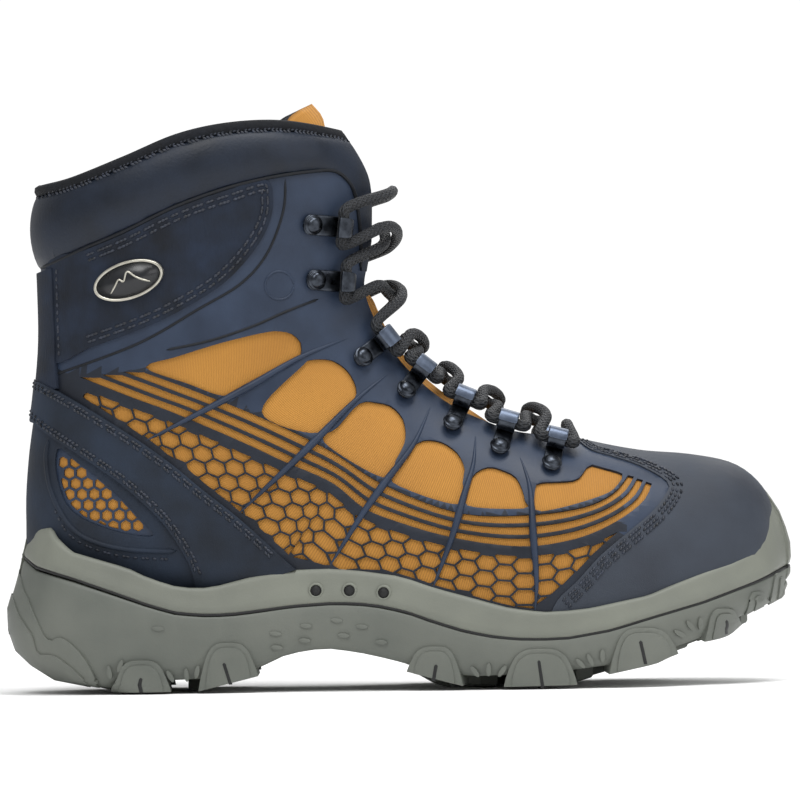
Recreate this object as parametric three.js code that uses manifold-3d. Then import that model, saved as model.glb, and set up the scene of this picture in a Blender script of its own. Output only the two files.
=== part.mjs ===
// A lace-up hiking boot for the right foot, in millimetres: toe towards +X, up is +Z, the outer
// (lateral) side of the foot faces -Y.
// The origin is the middle of the footprint, on the floor.
//
// Nearly every piece of the upper is a layer of one shape, the form. The form is a row of closed rings
// that start at the tip of the toe,
// pass round the foot and the heel, and end above the collar. A layer is the form grown by one amount
// minus the form grown by a smaller one,
// and a panel is a layer cut by an outline drawn in side view.
import * as THREE from "three";
import { ParametricGeometry } from "three/addons/geometries/ParametricGeometry.js";
import { mergeVertices } from "three/addons/utils/BufferGeometryUtils.js";
import Module from "manifold-3d";

const wasm = await Module();
wasm.setup();
const { Manifold, Mesh } = wasm;

const boot = new THREE.Group();
const GAP = 0.3; // clearance kept between any two pieces
const WIDE = 90; // half-length of the side-view cutters, past both sides of the boot

// ---------------------------------------------------------------- helpers

// A closed three.js geometry as a manifold-3d solid.
function solid(geometry) {
  const bare = new THREE.BufferGeometry().setAttribute(
    "position",
    (geometry.index ? geometry.toNonIndexed() : geometry).getAttribute("position"),
  );
  const merged = mergeVertices(bare, 1e-4);
  const faces = [];
  const ix = merged.index.array;
  for (let i = 0; i < ix.length; i += 3) {
    const [a, b, c] = [ix[i], ix[i + 1], ix[i + 2]];
    if (a !== b && b !== c && c !== a) faces.push(a, b, c);
  }
  const make = (tri) =>
    new Manifold(
      new Mesh({
        numProp: 3,
        vertProperties: new Float32Array(merged.attributes.position.array),
        triVerts: new Uint32Array(tri),
      }),
    );
  const made = make(faces);
  if (made.volume() > 0) return made;
  for (let i = 0; i < faces.length; i += 3) [faces[i + 1], faces[i + 2]] = [faces[i + 2], faces[i + 1]];
  return make(faces);
}

// Adds one named mesh to the boot.
function add(name, shape, color, roughness = 0.8, metalness = 0) {
  const m = shape.getMesh();
  const at = new Float32Array(m.numVert * 3);
  for (let i = 0; i < m.numVert; i++) {
    at.set(m.vertProperties.subarray(i * m.numProp, i * m.numProp + 3), i * 3);
  }
  const g = new THREE.BufferGeometry();
  g.setAttribute("position", new THREE.BufferAttribute(at, 3));
  g.setIndex(new THREE.BufferAttribute(m.triVerts, 1));
  g.computeVertexNormals();
  const material = new THREE.MeshStandardMaterial({ color, roughness, metalness, flatShading: true });
  const mesh = new THREE.Mesh(g, material);
  mesh.name = name;
  boot.add(mesh);
}

const flat = (points) => points.map(([a, b]) => new THREE.Vector2(a, b));
const curve = (points) => new THREE.SplineCurve(flat(points));
// A smooth line through points, two stretches to each gap.
const smooth = (points) => {
  const fine = curve(points).getPoints(2 * (points.length - 1));
  return fine.map((p) => [p.x, p.y]);
};

// A prism whose outline [x, z] is seen from the side, from y0 to y1.
function side(outline, y0 = -WIDE, y1 = WIDE) {
  const shape = new THREE.Shape(flat(outline));
  const g = new THREE.ExtrudeGeometry(shape, { depth: y1 - y0, bevelEnabled: false, curveSegments: 1 });
  return solid(g.rotateX(Math.PI / 2).translate(0, y1, 0));
}
function box(x0, x1, y0, y1, z0, z1) {
  const g = new THREE.BoxGeometry(x1 - x0, y1 - y0, z1 - z0);
  return solid(g.translate((x0 + x1) / 2, (y0 + y1) / 2, (z0 + z1) / 2));
}
const union = (...all) => Manifold.union(all);
// The largest body alone, without the slivers a cut leaves.
const whole = (s) => s.decompose().sort((a, b) => b.volume() - a.volume())[0];
const half = (s) => box(-200, 200, s < 0 ? -WIDE : GAP / 2, s < 0 ? -GAP / 2 : WIDE, -20, 260);

// ---------------------------------------------------------------- the form

// One row per ring: the low point (x, z), the high point (x, z), half the width, and how far the
// ring's middle sits towards the inner side.
// Each ring is flat. It runs from the low point to the high point, first on the outer side and back on
// the inner one.
const RINGS = [
  [150.2, 52, 150.2, 53, 0.5, 7], // tip of the toe
  [147.5, 42.5, 149, 66.5, 17, 7],
  [140.5, 36.5, 144.5, 76.5, 30, 6],
  [128.5, 31.5, 133.5, 85.5, 39, 5],
  [111.5, 26, 116.5, 89.5, 45.5, 3.5],
  [91.5, 20.5, 96.5, 91.5, 49.5, 1.5],
  [67.5, 17.5, 76.5, 95.5, 51.5, 0],
  [41.5, 17, 58.5, 100.5, 51.5, -1], // ball of the foot
  [13.5, 20, 41, 107, 48.5, -1],
  [-20.5, 24.5, 23, 115.5, 43.5, 0],
  [-60.5, 28.5, 9, 127, 40.5, 0.5],
  [-100.5, 30.5, -0.5, 139, 38.5, 0.5],
  [-130.5, 34, -6, 150, 37, 0],
  [-145.5, 49, -9, 159, 36.5, 0], // back of the heel
  [-147.5, 71, -10, 168.5, 37, 0],
  [-146.2, 93, -9.8, 179, 37.5, 0],
  [-142.8, 117, -9.5, 188.5, 38, 0],
  [-140.6, 139, -9.5, 197, 39.5, 0],
  [-140.6, 161, -10.5, 204, 41, 0],
  [-141.3, 183, -13.5, 211, 42, 0],
  [-141.5, 197, -18, 218.5, 42.5, 0], // collar
  [-141.5, 211, -22.5, 226.5, 42.5, 0],
  [-141.5, 225, -27, 236, 42.5, 0],
];
const LAST = RINGS.length - 1;
const backLine = curve(RINGS.map((r) => [r[0], r[1]]));
const frontLine = curve(RINGS.map((r) => [r[2], r[3]]));
const girth = curve(RINGS.map((r) => [r[4], r[5]]));
// Where along a ring it is widest, and how square it is below and above that.
const squareness = (r) => {
  const leg = THREE.MathUtils.smoothstep(r, 7.5, 12);
  return [0.3 + 0.15 * leg, 5 - 2.6 * leg, 2.25];
};

// The point of ring r at v, where v = 0 is the low point, 0.5 the high point, and below 0.5 is the
// outer side.
function onRing(r, v) {
  const t = (1 - Math.cos(2 * Math.PI * v)) / 2;
  const low = backLine.getPoint(r / LAST);
  const high = frontLine.getPoint(r / LAST);
  const { x: w, y: swing } = girth.getPoint(r / LAST);
  const [widest, lowPower, highPower] = squareness(r);
  const [from, power] = t < widest ? [1 - t / widest, lowPower] : [(t - widest) / (1 - widest), highPower];
  const out = (1 - from ** power) ** (1 / power);
  const turn = v - Math.floor(v) < 0.5 ? -1 : 1;
  const y = swing + turn * w * Math.max(out, 0);
  return new THREE.Vector3(low.x + t * (high.x - low.x), y, low.y + t * (high.y - low.y));
}

// The outward direction there.
function outward(r, v) {
  const e = 0.02;
  const [r0, r1] = [Math.max(r - e, 0), Math.min(r + e, LAST)];
  const along = onRing(r1, v).sub(onRing(r0, v));
  const round = onRing(r, v + 0.006).sub(onRing(r, v - 0.006));
  const n = along.cross(round).normalize();
  return n.dot(onRing(r, v).sub(onRing(r, 0).lerp(onRing(r, 0.5), 0.5))) < 0 ? n.negate() : n;
}
const place = (r, v, grow = 0) => onRing(r, v).addScaledVector(outward(r, v), grow);

// Ring and fraction t of the surface point seen from the side at (x, z).
function locate(x, z) {
  let [lo, hi] = [0, LAST];
  for (let i = 0; i < 40; i++) {
    const r = (lo + hi) / 2;
    const b = backLine.getPoint(r / LAST);
    const f = frontLine.getPoint(r / LAST);
    if ((f.x - b.x) * (z - b.y) - (f.y - b.y) * (x - b.x) > 0) lo = r;
    else hi = r;
  }
  const r = (lo + hi) / 2;
  const b = backLine.getPoint(r / LAST);
  const f = frontLine.getPoint(r / LAST);
  const chord = f.clone().sub(b);
  const t = THREE.MathUtils.clamp(new THREE.Vector2(x, z).sub(b).dot(chord) / chord.lengthSq(), 0, 1);
  return [r, Math.acos(1 - 2 * t) / (2 * Math.PI)];
}

// Where the rings are sampled: closer together over the instep, and around the collar.
const HALF_TURN = [0, 0.05, 0.105, 0.17, 0.24, 0.31, 0.37, 0.415, 0.445, 0.47, 0.5];
const TURNS = [...HALF_TURN, ...HALF_TURN.slice(1, -1).reverse().map((v) => 1 - v)];
const AROUND = TURNS.length;
const ROWS = [0, 1, 2, 3, 4, 5, 6, 7, 8, 9, 10, 11, 12, 13, 14, 15, 16, 17, 18, 18.9, 19.7, 20.5, 21.2, 22];

// The whole form as a solid, grown outwards by a number or by a function of the side-view position.
const forms = new Map();
function form(grow) {
  if (forms.has(grow)) return forms.get(grow);
  const tip = (r, lift) => onRing(r, 0).lerp(onRing(r, 0.5), 0.5).add(lift);
  const g = new ParametricGeometry(
    (u, v, target) => {
      const row = Math.round(v * (ROWS.length + 1)) - 1;
      const turn = TURNS[Math.round(u * AROUND) % AROUND];
      if (row < 0) {
        const by = typeof grow === "number" ? grow : 0;
        return target.copy(tip(0, new THREE.Vector3(by + 0.2, 0, 0)));
      }
      if (row >= ROWS.length) return target.copy(tip(LAST, new THREE.Vector3(0, 0, 1)));
      const base = onRing(ROWS[row], turn);
      const by = typeof grow === "number" ? grow : grow(base.x, base.z);
      return target.copy(place(ROWS[row], turn, by));
    },
    AROUND,
    ROWS.length + 1,
  );
  forms.set(grow, solid(g));
  return forms.get(grow);
}
const layer = (inner, outer) => form(outer).subtract(form(inner));

// ---------------------------------------------------------------- lines of the upper, seen from the
// side

const RIM = [
  [-160, 70], [-148, 66], [-144.5, 62.5], [-134.5, 56.5], [-124.5, 54], [-109, 50], [-99, 45.5],
  [-89, 42.3], [-80.5, 41.3], [-73.5, 42], [-58, 45.8], [-43, 48],
  [-29.5, 48.5], [-17.5, 47.6], [0, 45], [13, 40.3], [34.5, 34.2], [43, 31.9], [56, 30.2], [60, 30.2],
  [75, 31.5], [98, 36], [121, 44.6], [136, 49], [143.5, 52.2],
  [147.8, 57.3], [149, 64], [148, 71], [145.5, 76], [146.5, 77.5], [160, 78],
];
// Everything between a line, raised by lift, and the height reach.
function beyond(line, lift, reach) {
  const raised = line.map(([x, z]) => [x, z + lift]);
  const [first, last] = [raised[0][1], raised[raised.length - 1][1]];
  return side([[-200, first], ...raised, [200, last], [200, reach], [-200, reach]]);
}
const above = (line, lift = 0) => beyond(line, lift, 300);
const below = (line, lift = 0) => beyond(line, lift, -40);
const overRim = above(RIM.map(([x, z]) => [x > 100 ? x - 0.6 : x, z + 0.5]));

const COLLAR_LOW = smooth([
  [-160, 168], [-140.4, 169.5], [-134.8, 171.4], [-122.6, 176.8], [-107, 183.2], [-86.5, 192.8],
  [-66, 199.8], [-49.5, 203.6], [-35, 205.6], [-23, 206],
]);
const COLLAR_TOP = smooth([
  [-160, 198], [-138.5, 198.5], [-127, 201], [-106.5, 208.7], [-86, 217], [-66, 221.2], [-45, 222],
  [-25, 218.8], [-16.5, 216], [0, 212],
]);
const MESH_TOP = smooth([
  [-160, 200.5], [-138.5, 201], [-117, 209.3], [-94.5, 219.2], [-74, 225.2], [-60, 226.8], [-45, 226],
  [-25, 222], [-16.5, 219], [0, 214],
]);
// The front strip of the padded collar drops down behind the hooks.
const stripFront = [[-18.5, 202], [-16, 197], [-15, 188], [-14.8, 166], [20, 166]];
const collarZone = side([...COLLAR_LOW, ...stripFront, [20, 300], [-160, 300]]);
const underCollar = (x, z) => {
  // how far up the padded band a side-view position is: 0 at its lower seam, 1 at the upper one
  const at = (line) => {
    const i = line.findIndex((p) => p[0] > x);
    if (i <= 0) return line[i < 0 ? line.length - 1 : 0][1];
    const [a, b] = [line[i - 1], line[i]];
    return a[1] + ((x - a[0]) / (b[0] - a[0])) * (b[1] - a[1]);
  };
  return (z - at(COLLAR_LOW)) / (at(COLLAR_TOP) - at(COLLAR_LOW));
};
// Thickness of the collar's padding outside the form.
const PAD = 4.6;
const padding = (share) => (x, z) => {
  const s = THREE.MathUtils.clamp(underCollar(x, z), 0, 1);
  const front = THREE.MathUtils.smoothstep(x, -34, -16); // the strips beside the throat are thinner
  const bulge = (PAD - 1) * (1 - front) * Math.sin(Math.PI * s) ** 0.7;
  return 1 + 1.2 * front + share + bulge;
};
const padOuter = padding(0);
const padSkin = padding(-1.2);
const padFoam = padding(-1.5);

// Edge of the throat, where the tongue shows: a line this far inside the front of the form.
const THROAT_DEPTH = 4.6;
const SHAFT_DEPTH = 1.3; // and above the ankle, where the two edges nearly meet
const throatLine = [];
for (let r = 20.5; r > 6.9; r -= 0.5) {
  const p = frontLine.getPoint(r / LAST);
  const d = frontLine.getPoint((r - 0.1) / LAST).sub(frontLine.getPoint((r + 0.1) / LAST)).normalize();
  const shaft = THREE.MathUtils.smoothstep(r, 13, 14.8);
  const full = THREE.MathUtils.lerp(THROAT_DEPTH, SHAFT_DEPTH, shaft);
  const depth = full * THREE.MathUtils.smoothstep(r, 6.2, 8);
  throatLine.push([p.x + d.y * depth, p.y - d.x * depth]);
}
const frontEnd = frontLine.getPoint(6.3 / LAST);
const throatTop = [throatLine[0][0] - 4, throatLine[0][1] + 14];
function throatArea(move = 0) {
  const edge = throatLine.map(([x, z]) => [x + move * 0.7, z + move * 0.7]);
  return side([[-60, 300], [-60, 228], throatTop, ...edge, [frontEnd.x, frontEnd.y + 3], [90, 300]]);
}
const throat = throatArea(0);

// Front edge of the quarters, under the toe cap's rear edge, and that rear edge.
const VAMP_LINE = smooth([
  [70, 0], [66, 33], [76, 43], [90, 56], [103, 69], [107.5, 77], [100, 84.5], [84, 91.5], [70, 95],
  [64, 99], [62, 110],
]);
const CAP_LINE = smooth([
  [50, 0], [59.5, 33.5], [69.5, 42.5], [79, 52.3], [90.5, 61.3], [100, 68.8], [106, 76], [105.5, 80],
  [95, 86], [83.5, 90], [72, 93.2], [65.5, 95.5], [62, 110],
]);
function frontOf(line, lift = 0) {
  const edge = line.map(([x, z]) => [x + lift, z]);
  return side([...edge, [200, line[line.length - 1][1]], [200, line[0][1]]]);
}

// ---------------------------------------------------------------- sole

const OUTLINE = [
  // x, outer half-width, inner half-width
  [-157, 0, 0], [-155, 14, 14], [-150, 26, 26], [-140, 36.5, 36], [-120, 42.6, 42], [-90, 43.5, 42.6],
  [-60, 44, 42.8], [-30, 46, 43.6], [0, 50, 47],
  [30, 55.4, 52.5], [55, 56.5, 55.6], [75, 56, 56.5], [93, 53.4, 56], [110, 48.5, 54], [130, 39.3, 48],
  [142, 30, 40.5], [150, 18, 30.5], [155, 2, 19], [157, -8, 8],
];
// The outline drawn in at both sides by some millimetres, as one closed loop.
function plan(shrink) {
  const drawIn = (y) => Math.sign(y) * Math.max(Math.abs(y) - shrink, 0);
  const outer = OUTLINE.map(([x, o]) => [x, -drawIn(o)]);
  const inner = OUTLINE.map(([x, , i]) => [x, drawIn(i)]).slice(1, -1).reverse();
  return [...outer, ...inner];
}
// Outlines stacked at heights, joined into one solid: the sole's blank.
function stack(levels) {
  const loops = levels.map(([z, shrink]) => plan(shrink).map(([x, y]) => [x, y, z]));
  const n = loops[0].length;
  const g = new ParametricGeometry(
    (u, v, target) => {
      const k = Math.round(v * (levels.length + 1)) - 1;
      const i = Math.round(u * n) % n;
      if (k < 0) return target.set(0, 0, levels[0][0]);
      if (k >= levels.length) return target.set(0, 0, levels[levels.length - 1][0]);
      return target.set(...loops[k][i]);
    },
    n,
    levels.length + 1,
  );
  return solid(g);
}
const blank = stack([[-1, 1.2], [14, 0.2], [30, 0], [44, 1.4], [56, 2.6], [66, 2.6], [82, 2.6]]);
// The ends, seen from the side.
const ends = side([
  [-146, 90], [-148, 66.5], [-151.2, 55], [-152.6, 47], [-156.5, 34], [-156.2, 25], [-153.5, 17],
  [-147.5, 11], [-138.5, 5.2], [-122, 2], [-114, 0], [100, 0], [134, 21.5], [152, 33], [156.2, 43],
  [156.5, 54],
  [153.8, 66], [147, 76.8], [146, 90],
]);
const GROOVE = [
  [-170, 61], [-151, 55], [-145, 50.5], [-129.7, 46], [-114.5, 40.6], [-99, 34.9], [-89, 32], [-79, 31],
  [-68.5, 31], [-58.5, 32], [-43, 33.9], [-28, 34.8], [-17.5, 34.6], [-7.5, 33.3], [2.2, 31],
  [13, 27], [23.6, 23.6], [34.2, 21.2], [45, 19.9], [55.6, 19.6], [66.4, 20], [82.5, 22.7],
  [98.7, 27.3], [120, 33], [141.7, 40.5], [153.6, 45], [175, 52],
];
const SOLE_FOOT = 0.35; // the midsole's cup is this much larger than the form
// The midsole shows above the groove, and goes down inside the outsole as a core.
const CORE_LOW = [
  [-170, 15], [-120, 13.5], [-90, 13.5], [-60, 18.5], [-29, 22], [0, 17], [13, 14], [41, 11.5],
  [67, 12], [91, 16], [111, 23], [128, 30], [142, 38], [170, 50],
];
function coreAt(gap) {
  const upright = stack([[0, 8.5 - gap], [40, 8 - gap], [60, 9.5 - gap]]);
  const [heel, toe] = [-148.5 - gap, 145 + gap];
  const length = side([[heel, 70], [heel, 0], [toe, 0], [toe, 70]]);
  return upright.intersect(above(CORE_LOW, -gap)).intersect(below(GROOVE, 2)).intersect(length);
}
const wall = blank.intersect(ends).intersect(below(RIM)).intersect(above(GROOVE, 0.15));
const midsoleBlock = wall.add(coreAt(0));

// Shank: a thin spring plate under the board, let into the midsole.
const shankBox = (e) => box(-98 - e, 18 + e, -9 - e, 9 + e, 0, 60);
const shankArea = (top) => side([[-120, 0], [-120, top], [40, top], [40, 0]]);
const shank = layer(0.7, 1.9).intersect(shankBox(0)).intersect(shankArea(40));
const shankPocket = layer(0.1, 2.2).intersect(shankBox(0.3)).intersect(shankArea(40.5));

const drains = [-33.5, -20.3, -6.8].map((x, i) => [x, [40.1, 39.9, 38.9][i]]);
function drain([x, z], y0, y1) {
  const g = new THREE.CylinderGeometry(2, 2, y1 - y0, 10);
  return solid(g.translate(x, (y0 + y1) / 2, z));
}
const bores = union(...drains.flatMap((d) => [drain(d, -70, -36), drain(d, 36, 70)]));

const midsole = whole(midsoleBlock.subtract(form(SOLE_FOOT)).subtract(shankPocket).subtract(bores));

// Lugs: the walking side seen from the side, cut full width, then opened along the middle.
const TREAD = [
  [-170, -5], [-156, 8], [-147.5, 11], [-138.5, 5.2], [-122, 2], [-118, 3.6], [-113.5, 0], [-93, 0],
  [-89.5, 5], [-83, 5], [-79.5, 0.2], [-70, 0.6], [-58, 6.5], [-53.5, 9.5], [-48.5, 13.8], [-38, 15.8],
  [-29, 16.2],
  [-18, 14.5], [-9, 12.3], [2, 8.3], [7, 5], [13, 1.5], [22, 1.2], [25.5, 5.5], [39.5, 5.5],
  [40.5, 0.8], [54, 0], [68.5, 1.2], [70.5, 6.5], [79, 8], [84.5, 5.6], [107.5, 12.6], [111, 18],
  [119.5, 21], [121, 17.5],
  [134, 21.8], [136.5, 27.5], [144.5, 31], [147.5, 29.8], [152, 33.3], [170, 40],
];
const channels = union(
  box(24, 132, -5.5, 5.5, -5, 5.5),
  box(-114, -64, -5, 5, -5, 5),
  side([[78, -5], [134, 12], [134, 27], [108, 17.5], [78, 9.5]], -5.5, 5.5),
  box(40, 55, -30, -26, -5, 4),
  box(40, 55, 26, 30, -5, 4),
);
const outsoleBlock = blank.intersect(ends).intersect(below(GROOVE, -0.15)).intersect(above(TREAD));
const outsole = outsoleBlock.subtract(channels).subtract(coreAt(GAP)).subtract(form(SOLE_FOOT));

// ---------------------------------------------------------------- inside the upper

const BOTTOM = [
  [-170, 44], [-148, 44], [-138, 40], [-120, 38], [-100, 35.5], [-60, 33.5], [-20, 29.5], [13, 25],
  [41, 22], [67, 22.5], [91, 25.5], [111, 31], [128, 36.5], [142, 42], [170, 46],
];
// Inner and outer faces of the layers inside the form: lining, stiffeners, base textile.
const LIN_IN = -5;
const LIN_OUT = -3.8;
const STIFF_IN = -3.5;
const STIFF_OUT = -2.1;
const BASE_IN = -1.8;

const lining = union(
  layer(LIN_IN, LIN_OUT).intersect(below(MESH_TOP)),
  layer(LIN_IN, 2.6).intersect(below(MESH_TOP)).intersect(above(COLLAR_TOP, GAP)),
).subtract(throatArea(-0.6));
const board = layer(STIFF_IN, STIFF_OUT).intersect(below(BOTTOM, 1));
const counter = layer(STIFF_IN, STIFF_OUT).intersect(side([
  [-170, 47.5], [-148, 47.5], [-138, 43], [-100, 39], [-72, 37], [-84, 62], [-108, 84], [-132, 96],
  [-170, 98],
]));
const puff = layer(STIFF_IN, STIFF_OUT).intersect(side([
  [114, 36], [130, 41], [142, 46], [180, 50], [180, 100], [110, 100], [104, 78],
]));
const footbed = form(-5.9).intersect(below(BOTTOM, 9.5));

// ---------------------------------------------------------------- the base layer: two quarters and a
// vamp

const base = layer(BASE_IN, 0).intersect(below(MESH_TOP)).subtract(collarZone);
const quarters = base.subtract(throat).subtract(frontOf(VAMP_LINE));
const vamp = base.intersect(frontOf(VAMP_LINE, GAP));

// ---------------------------------------------------------------- collar

const collarEdge = COLLAR_LOW.map(([x, z]) => [x, z + GAP]);
const collarFront = [[-18.2, 202 + GAP], [-15.6, 197], [-14.6, 188], [-14.4, 166.5], [20, 166.5]];
const collarSide = side([...collarEdge, ...collarFront, [20, 300], [-160, 300]]);
const collarRegion = collarSide.intersect(below(COLLAR_TOP)).subtract(throatArea(0.2));
const collarCover = form(padOuter).subtract(form(padSkin)).intersect(collarRegion);
const collarFoam = form(padFoam).subtract(form(STIFF_IN)).intersect(collarRegion);

// ---------------------------------------------------------------- overlays

// Faces of the panels on the form, and of the strap on those panels.
const LOW = GAP;
const HIGH = 1.8;
const OVER = 2.1;
const TOP = 3.5;
const overlay = layer(LOW, HIGH).intersect(overRim).subtract(throat).subtract(collarZone);

const STRAP_TOP = smooth([
  [-170, 128], [-141.5, 124.4], [-137, 122.5], [-124, 114.6], [-113, 107.5], [-101.5, 99.7], [-90, 91],
  [-79, 81.6], [-63.7, 69.2], [-48.5, 55.3], [-36, 46], [-30, 30],
]);
const STRAP_LOW = smooth([
  [-170, 110], [-143.5, 108.8], [-137.4, 103.4], [-128.3, 97], [-117, 89], [-108, 82], [-94.3, 68.8],
  [-85.3, 55.8], [-81.7, 48], [-79.5, 30],
]);
const strapArea = side([...STRAP_TOP, ...STRAP_LOW.slice().reverse()]);
const strap = layer(OVER, TOP).intersect(strapArea).intersect(overRim);

const WINDOW = [
  [-134.4, 97.5], [-135.3, 91], [-134.2, 83.4], [-131.4, 75.7], [-125.7, 70.3], [-117.3, 66.5],
  [-108.2, 63.8], [-99, 62.5], [-97.5, 63.8], [-102, 69.1], [-109.5, 77.6], [-117, 84.7], [-124.6, 91],
  [-132, 97.2],
];
const shrinkTo = (outline, k) => {
  const cx = outline.reduce((s, p) => s + p[0], 0) / outline.length;
  const cz = outline.reduce((s, p) => s + p[1], 0) / outline.length;
  return outline.map(([x, z]) => [cx + (x - cx) * k, cz + (z - cz) * k]);
};
const heelArea = side([
  [-170, 40], [-170, 112], ...STRAP_LOW.slice(1).map(([x, z]) => [x + 3, z + 3]), [-76, 30],
]);
const windowHole = side(WINDOW);
const heelCover = overlay.intersect(heelArea).subtract(windowHole);
const windowSkin = layer(LOW, 1.1).intersect(side(shrinkTo(WINDOW, 0.97)));

const toeCap = overlay.intersect(frontOf(CAP_LINE));

// Eyestay: the strip that carries the hardware, along the throat.
const EYE_IN = smooth([
  [-52, 152], [-41, 150], [-33, 140], [-24, 126], [-9, 108], [12, 93], [32, 83.5], [52, 79.5], [64, 82],
  [70, 90], [63, 99],
]);
const eyestayArea = side([
  [-16.5, 202], [-40, 201], [-44, 190], [-46, 175], [-50, 160], ...EYE_IN.slice(1), [30, 140], [0, 220],
]);
const eyestay = overlay.intersect(eyestayArea).subtract(frontOf(CAP_LINE, -GAP));

const ANKLE = smooth([
  [-134.4, 170.6], [-122.6, 176], [-107, 182.3], [-86.5, 192], [-66, 199], [-51, 202.8], [-48.6, 194.4],
  [-50, 186.3], [-54.1, 178.2], [-60.3, 170.2], [-68.6, 162.1], [-79, 155.3], [-92.3, 148.3],
  [-105.6, 142.9], [-120, 137.9], [-133.6, 134.4],
]);
const anklePanel = overlay.intersect(side(ANKLE)).subtract(eyestayArea);
const backArea = side([[-170, 127], [-135, 124.2], [-134.7, 132], [-134.9, 168], [-170, 168]]);
const backstay = overlay.intersect(backArea).subtract(side(ANKLE));

// ---------------------------------------------------------------- tongue: three layers of one padded
// strip

// Across the strip, q runs from -1 on the outer side to 1 on the inner one. The middle rises into the
// throat and the edges tuck under the lining.
const TONGUE = [6.9, 21.55];
function tonguePoint(r, q, depth) {
  const reach = 0.105 + 0.012 * THREE.MathUtils.smoothstep(r, 8, 20);
  const v = 0.5 + q * reach * (1 - 0.25 * THREE.MathUtils.smoothstep(r, 20.6, 21.6) * q * q);
  const { smoothstep } = THREE.MathUtils;
  const open = smoothstep(r, 7.2, 9) * (1 - smoothstep(r, 12.4, 14) + smoothstep(r, 20.4, 21.2));
  const rise = THREE.MathUtils.smoothstep(1 - Math.abs(q), 0.45, 0.95) * open;
  return place(r, v, -6.7 + 5.7 * rise - depth);
}
function tongueLayer(from, to) {
  const across = 10;
  const along = 16;
  const g = new ParametricGeometry(
    (u, v, target) => {
      const i = Math.round(u * 2 * (across + 1)) % (2 * (across + 1));
      const k = Math.round(v * along);
      const r = THREE.MathUtils.lerp(TONGUE[0], TONGUE[1], k / along);
      const top = i <= across;
      const q = top ? -1 + (2 * i) / across : 1 - (2 * (i - across - 1)) / across;
      const thin = k === 0 || k === along ? (from + to) / 2 : top ? from : to;
      return target.copy(tonguePoint(r, q, thin));
    },
    2 * (across + 1),
    along,
  );
  return solid(g);
}
const tongueFace = tongueLayer(0, 1.4);
const tongueFoam = tongueLayer(2.6, 6);
const tongueLining = tongueLayer(7.3, 8.3);

// ---------------------------------------------------------------- hardware: five rolled loops and two
// hooks a side, each with its rivet

// Each row: the rivet (x, z), then the middle of the rolled end (x, z).
const LOOPS = [
  [-14.9, 131, -7.6, 136.9],
  [2, 116.8, 7, 123.2],
  [20.9, 103, 24.4, 110],
  [39.7, 93.8, 42.1, 100.6],
  [60, 87, 61.5, 93.5],
];
const HOOKS = [[-33.8, 185, -24, 184.2], [-32.8, 163, -23.2, 162.2]];
const PLATE = 1.1; // strip thickness
const BORE = 3; // inner radius of a loop or hook
const SEAT = HIGH + GAP; // the hardware sits on the eyestay
const STRIP = 7; // strip width

// Frame of one fitting: origin under its rivet, first axis towards the throat, second axis outwards.
function seat([x, z, bx, bz], s) {
  const [r, v] = locate(x, z);
  const [r2, v2] = locate(bx, bz);
  const at = place(r, s < 0 ? v : 1 - v, SEAT);
  const n = outward(r, s < 0 ? v : 1 - v).lerp(outward(r2, s < 0 ? v2 : 1 - v2), 0.5).normalize();
  const to = place(r2, s < 0 ? v2 : 1 - v2, SEAT);
  const a = to.clone().sub(at);
  const long = a.length();
  a.addScaledVector(n, -a.dot(n)).normalize();
  return { at, a, n, c: new THREE.Vector3().crossVectors(a, n), long, r: r2, v: s < 0 ? v2 : 1 - v2 };
}
// A profile in (towards the throat, outwards), swept across the strip's width and put in its frame.
function strip(shape, f, width = STRIP) {
  const g = new THREE.ExtrudeGeometry(shape, { depth: width, bevelEnabled: false, curveSegments: 4 });
  g.translate(0, 0, -width / 2);
  return solid(g.applyMatrix4(frameOf(f)));
}
const frameOf = (f) => new THREE.Matrix4().makeBasis(f.a, f.n, f.c).setPosition(f.at);
const rivetHole = (f) => solid(new THREE.CylinderGeometry(1.6, 1.6, 8, 10).applyMatrix4(frameOf(f)));

function loopShape(long) {
  const plate = new THREE.Shape(flat([[-4.2, 0], [long, 0], [long, PLATE], [-4.2, PLATE]]));
  const ring = new THREE.Shape().absarc(long, BORE + PLATE, BORE + PLATE, 0, 2 * Math.PI);
  ring.holes.push(new THREE.Path().absarc(long, BORE + PLATE, BORE, 0, 2 * Math.PI, true));
  return [plate, ring];
}
// A hook is the same strip folded back over itself, open towards the rear.
function hookShape(long) {
  const cy = BORE + PLATE;
  const s = new THREE.Shape().moveTo(-4.2, 0).lineTo(long, 0);
  s.absarc(long, cy, BORE + PLATE, -Math.PI / 2, Math.PI / 2);
  s.lineTo(long - 3.6, 2 * cy + 0.5);
  s.lineTo(long - 3.6, 2 * cy - PLATE + 0.5);
  s.lineTo(long, 2 * cy - PLATE);
  s.absarc(long, cy, BORE, Math.PI / 2, -Math.PI / 2, true);
  s.lineTo(-4.2, PLATE);
  return s;
}
function rivet(f) {
  const under = PLATE + GAP; // underside of the domed head
  const shaft = [[0, 0], [1.3, 0], [1.3, under]];
  const head = [[3, under], [2.9, PLATE + 0.9], [2, PLATE + 1.7], [0, PLATE + 2.1]];
  const g = new THREE.LatheGeometry(flat([...shaft, ...head]), 8);
  return solid(g.applyMatrix4(frameOf(f)));
}
const METAL = 0x3a3d42;
const eyelets = { l: [], m: [] };
const fittings = [];
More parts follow.
